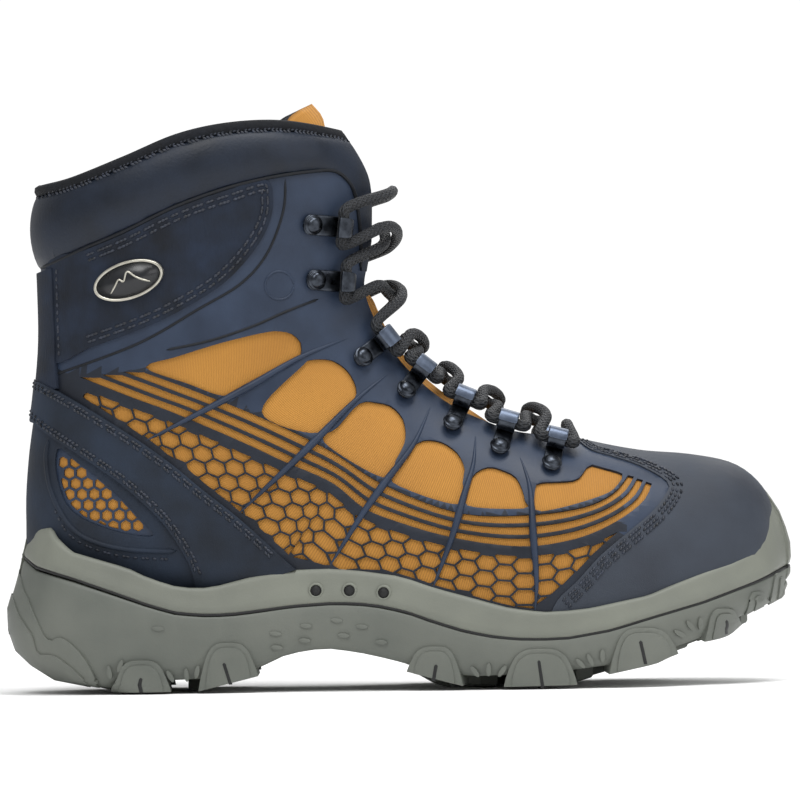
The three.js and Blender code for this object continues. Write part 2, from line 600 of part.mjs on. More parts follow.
// A flat strip on a curved strap touches at its edges first, so each fitting is lifted until all of it
// is clear.
function lifted(spot, s, make) {
  const f = seat(spot, s);
  for (let k = 0; k < 20 && make(f).minGap(eyestay, 1) < 0.2; k++) f.at.addScaledVector(f.n, 0.1);
  return f;
}
const midOf = (f) => f.at.clone().addScaledVector(f.a, f.long).addScaledVector(f.n, BORE + PLATE);
for (const [tag, s] of [["l", -1], ["m", 1]]) {
  HOOKS.forEach((h, i) => {
    const f = lifted(h, s, (at) => strip(hookShape(at.long), at));
    fittings.push([`lace_hook_${tag}${i + 1}`, strip(hookShape(f.long), f).subtract(rivetHole(f))]);
    fittings.push([`rivet_hook_${tag}${i + 1}`, rivet(f)]);
    eyelets[tag].push({ ...f, mid: midOf(f) });
  });
  LOOPS.forEach((l, i) => {
    const f = lifted(l, s, (at) => strip(loopShape(at.long)[0], at).add(strip(loopShape(at.long)[1], at)));
    const [plate, ring] = loopShape(f.long);
    const bore = new THREE.Shape().absarc(f.long, BORE + PLATE, BORE, 0, 2 * Math.PI);
    const rolled = strip(plate, f).add(strip(ring, f)).subtract(strip(bore, f, STRIP + 4));
    const body = rolled.subtract(rivetHole(f));
    fittings.push([`lace_loop_${tag}${i + 1}`, body]);
    fittings.push([`rivet_loop_${tag}${i + 1}`, rivet(f)]);
    eyelets[tag].push({ ...f, mid: midOf(f) });
  });
}

// ---------------------------------------------------------------- lace

const LACE_R = 2.2;
// Eyelets 0 and 1 are the hooks, 2 to 6 the loops, from the top down. The low end of a fitting is the
// end nearer the toe.
function laceRoute() {
  const other = (tag) => (tag === "l" ? "m" : "l");
  const along = (e, k) => e.mid.clone().addScaledVector(e.c, (e.c.z < 0 ? -1 : 1) * k);
  const through = (e) => [-6.8, -3.2, 3.2, 6.8].map((k) => along(e, k));
  // A run over the tongue from one fitting to another, at three heights above the form.
  const over = (a, b, heights) =>
    heights.map((h, i) => {
      const s = 0.5 + 0.2 * (i - 1);
      return place(THREE.MathUtils.lerp(a.r, b.r, s), THREE.MathUtils.lerp(a.v, b.v, s), h);
    });
  // One strand climbs from the bottom bar to the top, changing sides at every gap. Where the two
  // cross, the first lies over the second.
  const strand = (tag, first) => {
    const pts = [];
    for (let i = 6; i >= 0; i--) {
      const e = eyelets[tag][i];
      pts.push(...through(e));
      if (i === 0) return [pts, tag];
      const shaft = i <= 2 ? 1.8 : 0; // the collar's edges stand higher than the tongue
      const heights = first ? [8, 8.8, 8] : [5.2, 3.7, 5.2];
      pts.push(...over(e, eyelets[other(tag)][i - 1], heights.map((h) => h + shaft)));
      tag = other(tag);
    }
  };
  const [left, leftEnds] = strand("l", true);
  const [right] = strand("m", false);
  const ahead = new THREE.Vector3(3.5, 0, -0.5);
  const bar = over(eyelets.l[6], eyelets.m[6], [6, 5.4, 6]).map((p) => p.add(ahead));
  // Both ends leave on the inner side and hang down it.
  const hang = (points) => points.map((p) => new THREE.Vector3(...p));
  const [outerTop, innerTop] = [eyelets.l[0], eyelets.m[0]];
  const beside = (dx, dy, dz) => innerTop.mid.clone().add(new THREE.Vector3(dx, dy, dz));
  const across = over(outerTop, innerTop, [10, 8.6, 10]).map((p) => p.add(new THREE.Vector3(0, 0, 7)));
  const longEnd = [
    [-13, 44, 183], [-19, 49, 165], [-24, 50.5, 140], [-27, 51, 112], [-29, 51, 84], [-30, 51, 58],
  ];
  const shortEnd = [
    [-33, 44, 193], [-41, 49.5, 174], [-44, 50.5, 142], [-45, 51, 114], [-46, 51, 88], [-46, 51, 64],
  ];
  const fromOuter = [...across, beside(6, 8, 8), ...hang(longEnd)];
  const fromInner = [beside(-3, 5, 10), ...hang(shortEnd)];
  const [leftTail, rightTail] = leftEnds === "l" ? [fromOuter, fromInner] : [fromInner, fromOuter];
  return [...leftTail.slice().reverse(), ...left.slice().reverse(), ...bar, ...right, ...rightTail];
}
const route = new THREE.CatmullRomCurve3(laceRoute(), false, "centripetal");
const LACE_LONG = route.getLength();
const cordShape = new THREE.Shape().absarc(0, 0, LACE_R, 0, 2 * Math.PI);
route.arcLengthDivisions = 2000;
const laceSteps = Math.round(LACE_LONG / (4 * LACE_R));
const laceSweep = { steps: laceSteps, extrudePath: route, bevelEnabled: false, curveSegments: 4 };
const lace = solid(new THREE.ExtrudeGeometry(cordShape, laceSweep));
// Aglets: caps over both ends.
const aglet = (t) => {
  const end = route.getPointAt(t);
  const away = route.getTangentAt(t).multiplyScalar(t > 0.5 ? 1 : -1);
  const outside = [[0, 1.2], [1.7, 1.2], [2.3, 0.6], [3.1, -1], [3.1, -13]];
  const inside = [[2.65, -13], [2.65, 0.3], [0, 0.3]];
  const g = new THREE.LatheGeometry(flat([...outside, ...inside]), 12);
  g.applyQuaternion(new THREE.Quaternion().setFromUnitVectors(new THREE.Vector3(0, 1, 0), away));
  g.translate(end.x, end.y, end.z);
  return solid(g);
};

// ---------------------------------------------------------------- badge on the outer ankle

const [badgeR, badgeV] = locate(-105.2, 164.1);
const badgeAt = place(badgeR, badgeV, HIGH + GAP + 0.6);
const badgeN = outward(badgeR, badgeV);
const badgeSlope = new THREE.Vector3(Math.cos(0.3), 0, Math.sin(0.3));
const badgeA = badgeSlope.addScaledVector(badgeN, -badgeSlope.dot(badgeN)).normalize();
const oval = new THREE.Shape().absellipse(0, 0, 14.5, 7.6, 0, 2 * Math.PI);
const badgeB = new THREE.Vector3().crossVectors(badgeN, badgeA);
const badgeFrame = new THREE.Matrix4().makeBasis(badgeA, badgeB, badgeN).setPosition(badgeAt);
const badgePlate = new THREE.ExtrudeGeometry(oval, { depth: 1.2, bevelEnabled: false, curveSegments: 12 });
const badge = solid(badgePlate.applyMatrix4(badgeFrame));

// ---------------------------------------------------------------- the boot

const NAVY = 0x2b3240;
const SLATE = 0x3a4352;
const OCHRE = 0xb98a45;
const GREY = 0x7e827c;
const BLACK = 0x22242a;
add("outsole", outsole, GREY, 0.85);
add("midsole", midsole, 0x74786f, 0.8);
add("shank", shank, 0x9aa0a6, 0.35, 1);
add("insole_board", board, 0xb49a72);
add("footbed", footbed, 0x2a2c31, 0.95);
add("toe_puff", puff, 0xd8d2c4);
add("heel_counter", counter, 0xd8d2c4);
const sock = lining.subtract(tongueLayer(-0.4, 5)); // sewn from an outer and an inner half
add("lining_lateral", sock.intersect(half(-1)), BLACK, 0.95);
add("lining_medial", sock.intersect(half(1)), BLACK, 0.95);
add("collar_foam", collarFoam, 0x60646b, 0.95);
add("collar_cover", collarCover, NAVY, 0.85);
add("quarter_lateral", quarters.intersect(half(-1)), OCHRE, 0.9);
add("quarter_medial", quarters.intersect(half(1)), OCHRE, 0.9);
add("vamp", vamp, SLATE, 0.9);
add("toe_cap", toeCap, NAVY, 0.85);
add("heel_cover", heelCover, NAVY, 0.85);
add("heel_strap", strap, SLATE, 0.8);
add("heel_window_lateral", windowSkin.intersect(half(-1)), OCHRE, 0.9);
add("heel_window_medial", windowSkin.intersect(half(1)), OCHRE, 0.9);
add("eyestay_lateral", eyestay.intersect(half(-1)), SLATE, 0.75);
add("eyestay_medial", eyestay.intersect(half(1)), SLATE, 0.75);
add("ankle_panel_lateral", anklePanel.intersect(half(-1)), NAVY, 0.95);
add("ankle_panel_medial", anklePanel.intersect(half(1)), NAVY, 0.95);
add("backstay", backstay, NAVY, 0.95);
add("tongue_face", tongueFace, OCHRE, 0.9);
add("tongue_foam", tongueFoam, 0x60646b, 0.95);
add("tongue_lining", tongueLining, BLACK, 0.95);
add("badge", badge, 0x9ea3a8, 0.35, 0.9);
for (const [name, shape] of fittings) add(name, shape, METAL, 0.35, 0.9);
add("lace", lace, 0x1d1f23, 0.9);
add("aglet_a", aglet(0), 0x151618, 0.4);
add("aglet_b", aglet(1), 0x151618, 0.4);

export default boot;
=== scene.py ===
# %% [markdown]
# # A lace-up hiking boot
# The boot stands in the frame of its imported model: toe towards +X, up is +Z, the outer side faces -Y.
# Nearly every piece of the upper is a sheet pulled over one wooden foot shape, the last. So this
# script first repeats that shape as a formula, then draws each sheet flat, as a pattern cutter does,
# and wraps it. Sizes here are millimetres; a mesh is scaled to metres at the moment it becomes an
# object.

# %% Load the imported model
import math

import bmesh
import bpy
import numpy as np
from mathutils import Matrix, Vector


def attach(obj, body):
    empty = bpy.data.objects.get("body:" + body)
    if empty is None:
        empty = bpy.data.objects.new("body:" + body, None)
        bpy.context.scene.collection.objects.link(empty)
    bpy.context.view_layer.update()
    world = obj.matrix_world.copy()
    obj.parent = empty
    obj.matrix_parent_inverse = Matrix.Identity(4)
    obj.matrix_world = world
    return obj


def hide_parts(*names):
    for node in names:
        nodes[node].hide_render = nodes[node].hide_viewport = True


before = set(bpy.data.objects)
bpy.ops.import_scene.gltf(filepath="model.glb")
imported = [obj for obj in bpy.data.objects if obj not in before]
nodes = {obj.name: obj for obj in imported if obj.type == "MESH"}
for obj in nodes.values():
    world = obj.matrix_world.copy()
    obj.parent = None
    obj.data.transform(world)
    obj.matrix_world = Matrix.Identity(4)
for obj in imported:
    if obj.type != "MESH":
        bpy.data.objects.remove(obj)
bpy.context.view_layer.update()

# %% [markdown]
# ## Camera, floor and light
# A product view of a boot is taken from far away with a long lens, square to its outer side, so that
# nothing bulges towards the viewer. The boot leans back by just under a degree, which is a roll of
# the camera.

# %% Camera
SENSOR = 36
VIEW_WIDTH = 0.320
DISTANCE = 3.5
ROLL = math.radians(0.92)
AIM = Vector((0.0009, 0.0, 0.1148))

camera = bpy.data.objects.new("camera", bpy.data.cameras.new("camera"))
bpy.context.scene.collection.objects.link(camera)
camera.data.sensor_width = SENSOR
camera.data.lens = SENSOR * DISTANCE / VIEW_WIDTH
camera.data.clip_end = 50
facing = Matrix.Rotation(ROLL, 4, "Y") @ Matrix.Rotation(math.pi / 2, 4, "X")
camera.matrix_world = Matrix.Translation(AIM - Vector((0, DISTANCE, 0))) @ facing
bpy.context.scene.camera = camera
print("lens:", round(camera.data.lens), "mm")

# %% [markdown]
# ## Materials
# One function adds a node, sets it and wires it, so each finish below reads as a short recipe.
# Colours are given as people write them, in sRGB hex, and turned to the linear values that the
# shaders want.

# %% Node and colour helpers
CLOUD_SPAN = (0.3, 0.7)  # noise seldom leaves this span
LOW_PART_PAINTED_SHADE = 0.72  # painted shade: how dark the low parts of a weave or cell are drawn


def linear(code):
    """A hex colour as linear red, green, blue and alpha."""
    channels = [int(code[i : i + 2], 16) / 255 for i in (1, 3, 5)]
    return [c / 12.92 if c <= 0.04045 else ((c + 0.055) / 1.055) ** 2.4 for c in channels] + [1.0]


def node(tree, kind, wires=None, **settings):
    """Adds one node. A wire is a socket to link or a value to set; the node is returned."""
    made = tree.nodes.new(kind)
    for name, value in settings.items():
        setattr(made, name, value)
    for name, value in (wires or {}).items():
        if isinstance(value, bpy.types.NodeSocket):
            tree.links.new(value, made.inputs[name])
        else:
            made.inputs[name].default_value = value
    return made


def per_metre(size):
    """The texture scale that makes one repeat this many millimetres."""
    return 1000 / size


def ranged(tree, value, low, high, to_low, to_high):
    """Maps a value from one span to another."""
    span = {"Value": value, "From Min": low, "From Max": high, "To Min": to_low, "To Max": to_high}
    return node(tree, "ShaderNodeMapRange", span).outputs[0]


def mixed(tree, share, first, second, blend="MIX"):
    """Mixes two colours."""
    wires = {0: share, 6: first, 7: second}
    return node(tree, "ShaderNodeMix", wires, data_type="RGBA", blend_type=blend).outputs[2]


def finish(name, dark, light, rough, bumps, where="Object", patch=18, **surface):
    """A finish: two shades mixed by soft patches, a roughness that varies, and bumps laid over each other;
    weave and cell bumps also darken their low parts as painted shade.

    Each bump is (kind, size in mm, depth in mm, stretch), where stretch lengthens the grain along an axis.
    """
    material = bpy.data.materials.new(name)
    material.use_nodes = True
    tree = material.node_tree
    tree.nodes.clear()
    coordinates = node(tree, "ShaderNodeTexCoord").outputs[where]
    wires = {"Vector": coordinates, "Scale": per_metre(patch), "Detail": 6.0}
    cloud = node(tree, "ShaderNodeTexNoise", wires).outputs[0]
    colour = mixed(tree, ranged(tree, cloud, *CLOUD_SPAN, 0.0, 1.0), linear(dark), linear(light))
    polish = ranged(tree, cloud, *CLOUD_SPAN, *rough)
    normal = None
    for kind, size, depth, stretch in bumps:
        mapped = node(tree, "ShaderNodeMapping", {"Vector": coordinates, "Scale": stretch})
        if kind == "grain":
            wires = {"Vector": mapped.outputs[0], "Scale": per_metre(size), "Detail": 4.0}
            height = node(tree, "ShaderNodeTexNoise", wires).outputs[0]
        elif kind == "pebble":
            wires = {"Vector": mapped.outputs[0], "Scale": per_metre(size)}
            height = node(tree, "ShaderNodeTexVoronoi", wires, feature="SMOOTH_F1").outputs[0]
        else:
            wires = {"Vector": mapped.outputs[0], "Scale": per_metre(size) / math.pi}
            height = node(tree, "ShaderNodeTexWave", wires, bands_direction=kind).outputs["Fac"]
        wires = {"Height": height, "Distance": depth / 1000, "Strength": 1.0}
        if normal is not None:
            wires["Normal"] = normal
        normal = node(tree, "ShaderNodeBump", wires).outputs[0]
        # Painted shade: weave and cell bumps darken the colour in their low parts.
        if kind != "grain":
            cavity_shade = ranged(tree, height, 0.0, 0.6, LOW_PART_PAINTED_SHADE, 1.0)
            colour = mixed(tree, 1.0, colour, cavity_shade, "MULTIPLY")
    wires = {"Base Color": colour, "Roughness": polish, **surface}
    if normal is not None:
        wires["Normal"] = normal
    shader = node(tree, "ShaderNodeBsdfPrincipled", wires)
    node(tree, "ShaderNodeOutputMaterial", {"Surface": shader.outputs[0]})
    return material


# %% [markdown]
# The finishes come next. Each is named for the stuff and the way it was made, because that decides
# what the eye sees: a brushed nubuck drinks light and shows strokes, a moulded film is smoother and
# shows a low sheen.

# %% Upper materials
EVEN = (1, 1, 1)
DULL = {"Specular IOR Level": 0.3}
# Polyurethane film welded on the textile: smooth, low sheen, a faint orange peel.
FILM = finish("pu_film_slate", "#202a3b", "#2d394d", (0.42, 0.55), [("grain", 0.9, 0.05, EVEN)], **DULL)
# The same film drawn darker: painted shade for the slots' bars, the band, the honeycomb and every cut edge.
PAINTED_SHADE_FILM = finish("pu_film_slate_painted_shade", "#141820", "#1e242f", (0.45, 0.6), [("grain", 0.9, 0.05, EVEN)], **DULL)
# The same film on the padded collar: soft, slightly pebbled.
COLLAR = finish("pu_collar_slate", "#0f1621", "#192231", (0.42, 0.55), [("grain", 1.2, 0.1, EVEN)], **DULL)
# Brushed nubuck: matte, upright strokes, patches where the nap lies the other way.
NUBUCK = finish(
    "brushed_nubuck_navy",
    "#0c111a",
    "#212a3a",
    (0.72, 0.9),
    [("grain", 1.0, 0.22, (1, 1, 0.16)), ("grain", 0.35, 0.06, EVEN)],
    patch=14,
    **DULL,
)
# Coated split leather for strap, heel and toe: matte with scuffs.
LEATHER = finish(
    "coated_leather_navy",
    "#101721",
    "#232d3c",
    (0.6, 0.8),
    [("grain", 2.2, 0.1, (1, 1, 0.5)), ("grain", 0.5, 0.07, EVEN)],
    patch=22,
    **DULL,
)
# Toe leather, a little greener and more worn where it is flexed.
TOE_LEATHER = finish(
    "oiled_leather_navy",
    "#1a212d",
    "#323944",
    (0.58, 0.8),
    [("grain", 3.0, 0.1, (0.4, 1, 1)), ("grain", 0.5, 0.08, EVEN)],
    patch=30,
)
# Plain woven polyester, dyed ochre: threads 0.55 mm apart, drawn at that size on the flat pattern.
OCHRE = finish(
    "woven_polyester_ochre",
    "#b27a2c",
    "#c08738",
    (0.75, 0.88),
    [("X", 0.55, 0.05, EVEN), ("Y", 0.55, 0.05, EVEN)],
    where="UV",
    patch=40,
)
# Black spacer mesh: open cells about 1.6 mm apart.
MESH = finish(
    "spacer_mesh_black", "#0c0e12", "#181b21", (0.8, 0.95), [("pebble", 1.6, 0.35, EVEN)], patch=8, **DULL
)
# Bonded thread, twisted: the twist is coarser than life, so that it shows.
THREAD = finish(
    "bonded_thread_navy", "#0b0e14", "#2a3140", (0.4, 0.6), [("grain", 0.6, 0.1, EVEN)], patch=2
)
# Dark piping and folded binding.
BINDING = finish(
    "folded_binding_black", "#0c0f14", "#171b22", (0.55, 0.7), [("grain", 0.5, 0.05, EVEN)], patch=6, **DULL
)
UPPER = (FILM, PAINTED_SHADE_FILM, COLLAR, NUBUCK, LEATHER, TOE_LEATHER, OCHRE, MESH, THREAD, BINDING)
print("upper finishes:", len(UPPER))

# %% [markdown]
# Rubber is moulded, so it is even in colour, with the fine texture of a blasted mould and a dusting
# where it is handled. The fittings are steel with a black gunmetal plating, worn bright on their
# edges by the lace.

# %% Sole and fitting materials
RUBBER = finish(
    "moulded_rubber_grey",
    "#565a54",
    "#676a63",
    (0.55, 0.7),
    [("grain", 0.7, 0.06, EVEN), ("grain", 6.0, 0.1, EVEN)],
    patch=35,
)
MIDSOLE = finish(
    "moulded_midsole_grey",
    "#656860",
    "#74776d",
    (0.5, 0.65),
    [("grain", 0.7, 0.05, EVEN), ("grain", 5.0, 0.08, EVEN)],
    patch=30,
)
# Black used as painted shade: the groove between the mouldings, the lugs' slits and the drain holes.
BLACK_PAINTED_SHADE = finish(
    "painted_shade_black", "#0c0d0e", "#141516", (0.6, 0.7), [("grain", 0.7, 0.05, EVEN)]
)
GUNMETAL = finish(
    "gunmetal_plated_steel",
    "#2b2e34",
    "#4a4f57",
    (0.24, 0.4),
    [("grain", 1.5, 0.02, EVEN)],
    patch=3,
    Metallic=1.0,
)
SLEEVE = finish(
    "satin_gunmetal", "#475060", "#5d6778", (0.3, 0.45), [("grain", 1.5, 0.02, EVEN)], patch=4, Metallic=0.7
)
PALE_METAL = finish(
    "satin_nickel", "#a9a69b", "#c4c1b6", (0.3, 0.42), [("grain", 1, 0.01, EVEN)], patch=4, Metallic=0.9
)
ENAMEL = finish("black_enamel", "#0d0f13", "#15181d", (0.25, 0.35), [("grain", 0.8, 0.01, EVEN)], patch=5)
TIP = finish("acetate_black", "#0b0c0e", "#14161a", (0.18, 0.3), [("grain", 2, 0.02, EVEN)], patch=3)
FOAM = finish("open_cell_foam", "#4c5056", "#63676e", (0.85, 0.95), [("pebble", 1.2, 0.3, EVEN)], patch=9)
BOARD = finish(
    "pressed_fibre_board", "#a58c63", "#bda57a", (0.8, 0.9), [("grain", 0.8, 0.1, (3, 1, 1))], patch=7
)
STIFFENER = finish(
    "thermoplastic_sheet", "#cfc9bb", "#dcd7ca", (0.5, 0.6), [("grain", 0.9, 0.03, EVEN)], patch=12
)
STEEL = finish(
    "spring_steel", "#8d9298", "#a5aab0", (0.25, 0.4), [("grain", 1.0, 0.02, (0.1, 1, 1))], Metallic=1.0
)
INSOLE = finish("footbed_fabric", "#1d2024", "#2b2f36", (0.85, 0.95), [("pebble", 1.5, 0.2, EVEN)], patch=8)

# %% [markdown]
# The lace is a round braid: sixteen carriers laid over each other at about forty degrees, mostly
# black with a few grey picks. Its pattern follows the cord, so it reads the cord's own UV map: across
# is once round the cord, and along is in metres.

# %% Lace material
CARRIERS = 16
LAY = 2600.0  # how fast a carrier turns, in radians for each metre of cord


def math_node(tree, operation, first, second=0.0):
    """One sum on two values."""
    return node(tree, "ShaderNodeMath", {0: first, 1: second}, operation=operation).outputs[0]


def braid():
    """Two sets of carriers, one wound each way, with the higher one showing and the valleys between them
    darkened as painted shade.
    """
    material = bpy.data.materials.new("braided_polyester_black")
    material.use_nodes = True
    tree = material.node_tree
    tree.nodes.clear()
    along = node(tree, "ShaderNodeTexCoord").outputs["UV"]
    split = node(tree, "ShaderNodeSeparateXYZ", {"Vector": along})
    strands = []
    for sense in (1, -1):
        round_part = math_node(tree, "MULTIPLY", split.outputs[0], CARRIERS / 2 * sense * 2 * math.pi)
        long_part = math_node(tree, "MULTIPLY", split.outputs[1], LAY)
        strands.append(math_node(tree, "SINE", math_node(tree, "ADD", round_part, long_part)))
    over = math_node(tree, "MAXIMUM", *strands)
    fleck = node(tree, "ShaderNodeTexNoise", {"Vector": along, "Scale": 900.0, "Detail": 1.0}).outputs[0]
    picked = ranged(tree, fleck, 0.56, 0.66, 0.0, 1.0)
    colour = mixed(tree, picked, linear("#0c0e12"), linear("#3a414c"))
    # Painted shade: the colour is darker where the carriers sink.
    braid_with_shade = mixed(tree, 1.0, colour, ranged(tree, over, -1.0, 1.0, 0.35, 1.0), "MULTIPLY")
    bump = node(tree, "ShaderNodeBump", {"Height": over, "Distance": 0.0003, "Strength": 1.0})
    wires = {"Base Color": braid_with_shade, "Roughness": 0.62, "Normal": bump.outputs[0]}
    shader = node(tree, "ShaderNodeBsdfPrincipled", wires)
    node(tree, "ShaderNodeOutputMaterial", {"Surface": shader.outputs[0]})
    return material


BRAID = braid()

# %% [markdown]
# ## Floor and lights
# A plain pale disc to stand on and four large soft lamps in a white room: the light of a product table.

# %% Stage
def lamp(name, place_at, size, power):
    """A square soft lamp, aimed at the middle of the boot."""
    light = bpy.data.lights.new(name, "AREA")
    light.size = size
    light.energy = power
    made = bpy.data.objects.new(name, light)
    bpy.context.scene.collection.objects.link(made)
    toward = Vector((0, 0, 0.1)) - Vector(place_at)
    made.matrix_world = Matrix.Translation(place_at) @ toward.to_track_quat("-Z", "Y").to_matrix().to_4x4()


lamp("key", (-0.5, -1.4, 1.9), 1.0, 22)
lamp("fill", (1.6, -1.3, 0.9), 1.4, 10)
lamp("rim", (0.3, 1.6, 1.6), 1.4, 14)
lamp("top", (0.35, -0.35, 1.9), 0.8, 22)

room = bpy.data.worlds.new("white_room")
bpy.context.scene.world = room
room.use_nodes = True
backdrop = room.node_tree.nodes["Background"]
backdrop.inputs["Color"].default_value = linear("#ffffff")
# The eye sees a white wall; the boot is lit by about half as much.
ROOM_LIGHT, ROOM_SEEN = 0.48, 1.05
seen = node(room.node_tree, "ShaderNodeLightPath").outputs["Is Camera Ray"]
strength = ranged(room.node_tree, seen, 0.0, 1.0, ROOM_LIGHT, ROOM_SEEN)
room.node_tree.links.new(strength, backdrop.inputs["Strength"])

board_white = finish("matte_paper", "#fbfbfb", "#ffffff", (0.85, 0.9), [("grain", 1.5, 0.01, EVEN)])
disc = bmesh.new()
bmesh.ops.create_circle(disc, cap_ends=True, segments=96, radius=1.5)
floor_mesh = bpy.data.meshes.new("floor")
disc.to_mesh(floor_mesh)
disc.free()
floor_mesh.materials.append(board_white)
floor = bpy.data.objects.new("floor", floor_mesh)
bpy.context.scene.collection.objects.link(floor)

# %% [markdown]
# ## The last
# The foot shape is a row of closed rings from the tip of the toe, round the foot and heel, to above
# the collar. One row holds the ring's low point, its high point, half its width, and how far its
# middle swings to the inner side. Between the rows a smooth curve fills in, so any ring number r from
# 0 to 22 has a shape.

# %% Rings of the last
RINGS = np.array([
    [150.2, 52, 150.2, 53, 0.5, 7],
    [147.5, 42.5, 149, 66.5, 17, 7],
    [140.5, 36.5, 144.5, 76.5, 30, 6],
    [128.5, 31.5, 133.5, 85.5, 39, 5],
    [111.5, 26, 116.5, 89.5, 45.5, 3.5],
    [91.5, 20.5, 96.5, 91.5, 49.5, 1.5],
    [67.5, 17.5, 76.5, 95.5, 51.5, 0],
    [41.5, 17, 58.5, 100.5, 51.5, -1],
    [13.5, 20, 41, 107, 48.5, -1],
    [-20.5, 24.5, 23, 115.5, 43.5, 0],
    [-60.5, 28.5, 9, 127, 40.5, 0.5],
    [-100.5, 30.5, -0.5, 139, 38.5, 0.5],
    [-130.5, 34, -6, 150, 37, 0],
    [-145.5, 49, -9, 159, 36.5, 0],
    [-147.5, 71, -10, 168.5, 37, 0],
    [-146.2, 93, -9.8, 179, 37.5, 0],
    [-142.8, 117, -9.5, 188.5, 38, 0],
    [-140.6, 139, -9.5, 197, 39.5, 0],
    [-140.6, 161, -10.5, 204, 41, 0],
    [-141.3, 183, -13.5, 211, 42, 0],
    [-141.5, 197, -18, 218.5, 42.5, 0],
    [-141.5, 211, -22.5, 226.5, 42.5, 0],
    [-141.5, 225, -27, 236, 42.5, 0],
])
LAST_RING = len(RINGS) - 1


def spline(rows, at):
    """The smooth curve through rows, at row numbers that need not be whole."""
    rows = np.asarray(rows, float)
    at = np.clip(np.asarray(at, float), 0, len(rows) - 1)
    i = np.minimum(at.astype(int), len(rows) - 2)
    t = (at - i)[:, None]
    a = rows[np.maximum(i - 1, 0)]
    b = rows[i]
    c = rows[i + 1]
    d = rows[np.minimum(i + 2, len(rows) - 1)]
    return b + t / 2 * (c - a + t * (2 * a - 5 * b + 4 * c - d + t * (3 * b - a - 3 * c + d)))


def smoothstep(x, low, high):
    """Rises softly from 0 at low to 1 at high."""
    t = np.clip((np.asarray(x, float) - low) / (high - low), 0, 1)
    return t * t * (3 - 2 * t)


# %% [markdown]
# A place on the last is a ring r and a turn v: v = 0 is the low or back edge, 0.5 the crest, and v
# below 0.5 is the outer side. From the side, a ring is a straight line, so a point seen at (x, z) can
# be turned back into r and v by halving the search, and any drawing made in side view can be laid on
# the last.

# %% Places on the last
def half_profile(r, t):
    """Share of a ring's half width at height share t: fuller and squarer at the sole."""
    leg = smoothstep(r, 7.5, 12)
    widest = 0.3 + 0.15 * leg
    below = t < widest
    share = np.clip(np.where(below, 1 - t / widest, (t - widest) / (1 - widest)), 0, 1)
    power = np.where(below, 5 - 2.6 * leg, 2.25)
    return (1 - share**power) ** (1 / power)


def on_last(r, v):
    """The point of the last at ring r and turn v."""
    row = spline(RINGS, r)
    t = (1 - np.cos(2 * np.pi * v)) / 2
    side = np.where(v - np.floor(v) < 0.5, -1, 1)
    x = row[:, 0] + t * (row[:, 2] - row[:, 0])
    z = row[:, 1] + t * (row[:, 3] - row[:, 1])
    return np.stack([x, row[:, 5] + side * row[:, 4] * half_profile(r, t), z], 1)


def unit(v):
    """Each row at length 1."""
    return v / np.maximum(np.linalg.norm(v, axis=1, keepdims=True), 1e-9)


def outward(r, v):
    """The direction straight out of the last."""
    ahead = on_last(np.minimum(r + 0.02, LAST_RING), v) - on_last(np.maximum(r - 0.02, 0), v)
    n = unit(np.cross(ahead, on_last(r, v + 0.006) - on_last(r, v - 0.006)))
    row = spline(RINGS, r)
    middle = np.stack([(row[:, 0] + row[:, 2]) / 2, row[:, 5], (row[:, 1] + row[:, 3]) / 2], 1)
    away = np.sum(n * (on_last(r, v) - middle), axis=1) < 0
    n[away] *= -1
    return n


def place(r, v, grow=0.0):
    """The point at ring r and turn v, grow millimetres above the last."""
    r = np.atleast_1d(np.asarray(r, float))
    v = np.atleast_1d(np.asarray(v, float))
    grow = np.broadcast_to(np.asarray(grow, float), r.shape)
    return on_last(r, v) + outward(r, v) * grow[:, None]


def locate(points):
    """Ring and turn, on the outer side, of points given as (x, z)."""
    points = np.asarray(points, float)
    low = np.zeros(len(points))
    high = np.full(len(points), float(LAST_RING))
    for _ in range(36):
        r = (low + high) / 2
        row = spline(RINGS, r)
        chord = row[:, 2:4] - row[:, 0:2]
        to = points - row[:, 0:2]
        ahead = chord[:, 0] * to[:, 1] - chord[:, 1] * to[:, 0] > 0
        low = np.where(ahead, r, low)
        high = np.where(ahead, high, r)
    t = np.clip(np.sum(to * chord, 1) / np.sum(chord * chord, 1), 0, 1)
    return r, np.arccos(1 - 2 * t) / (2 * np.pi)


probe = locate([[-60, 110], [20, 70]])
print("heel quarter:", np.round(place(*probe), 1).tolist())

# %% [markdown]
# ## Tools of the bench
# Three helpers make nearly everything. `piece` turns a finished bmesh into an object that rides on a
# body. `cast` bends a flat grid into any closed skin by a formula. `panel` fills a drawn outline,
# cuts its holes, slices it into small faces and wraps it on the last; its thickness and soft edge
# come from modifiers.

# %% Make an object
TO_METRES = 0.001


def piece(name, bm, material, slot, body="boot", stands_for=()):
    """The bmesh, drawn in millimetres, as a smooth object in metres."""
    bmesh.ops.scale(bm, vec=(TO_METRES,) * 3, verts=bm.verts)
    mesh = bpy.data.meshes.new(name)
    bm.to_mesh(mesh)
    bm.free()
    mesh.materials.append(material)
    mesh.shade_smooth()
    made = bpy.data.objects.new(name, mesh)
    bpy.context.scene.collection.objects.link(made)
    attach(made, body)
    if stands_for:
        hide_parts(*stands_for)
    return made


def thicken(made, thick, edge):
    """Gives a sheet a thickness, inwards from where it was drawn, and softens its edges."""
    wall = made.modifiers.new("thickness", "SOLIDIFY")
    wall.thickness = thick * TO_METRES
    wall.offset = -1
    wall.use_even_offset = False
    soft = made.modifiers.new("soft_edge", "BEVEL")
    soft.width = edge * TO_METRES
    soft.segments = 2
    soft.limit_method = "ANGLE"
    soft.angle_limit = math.radians(50)


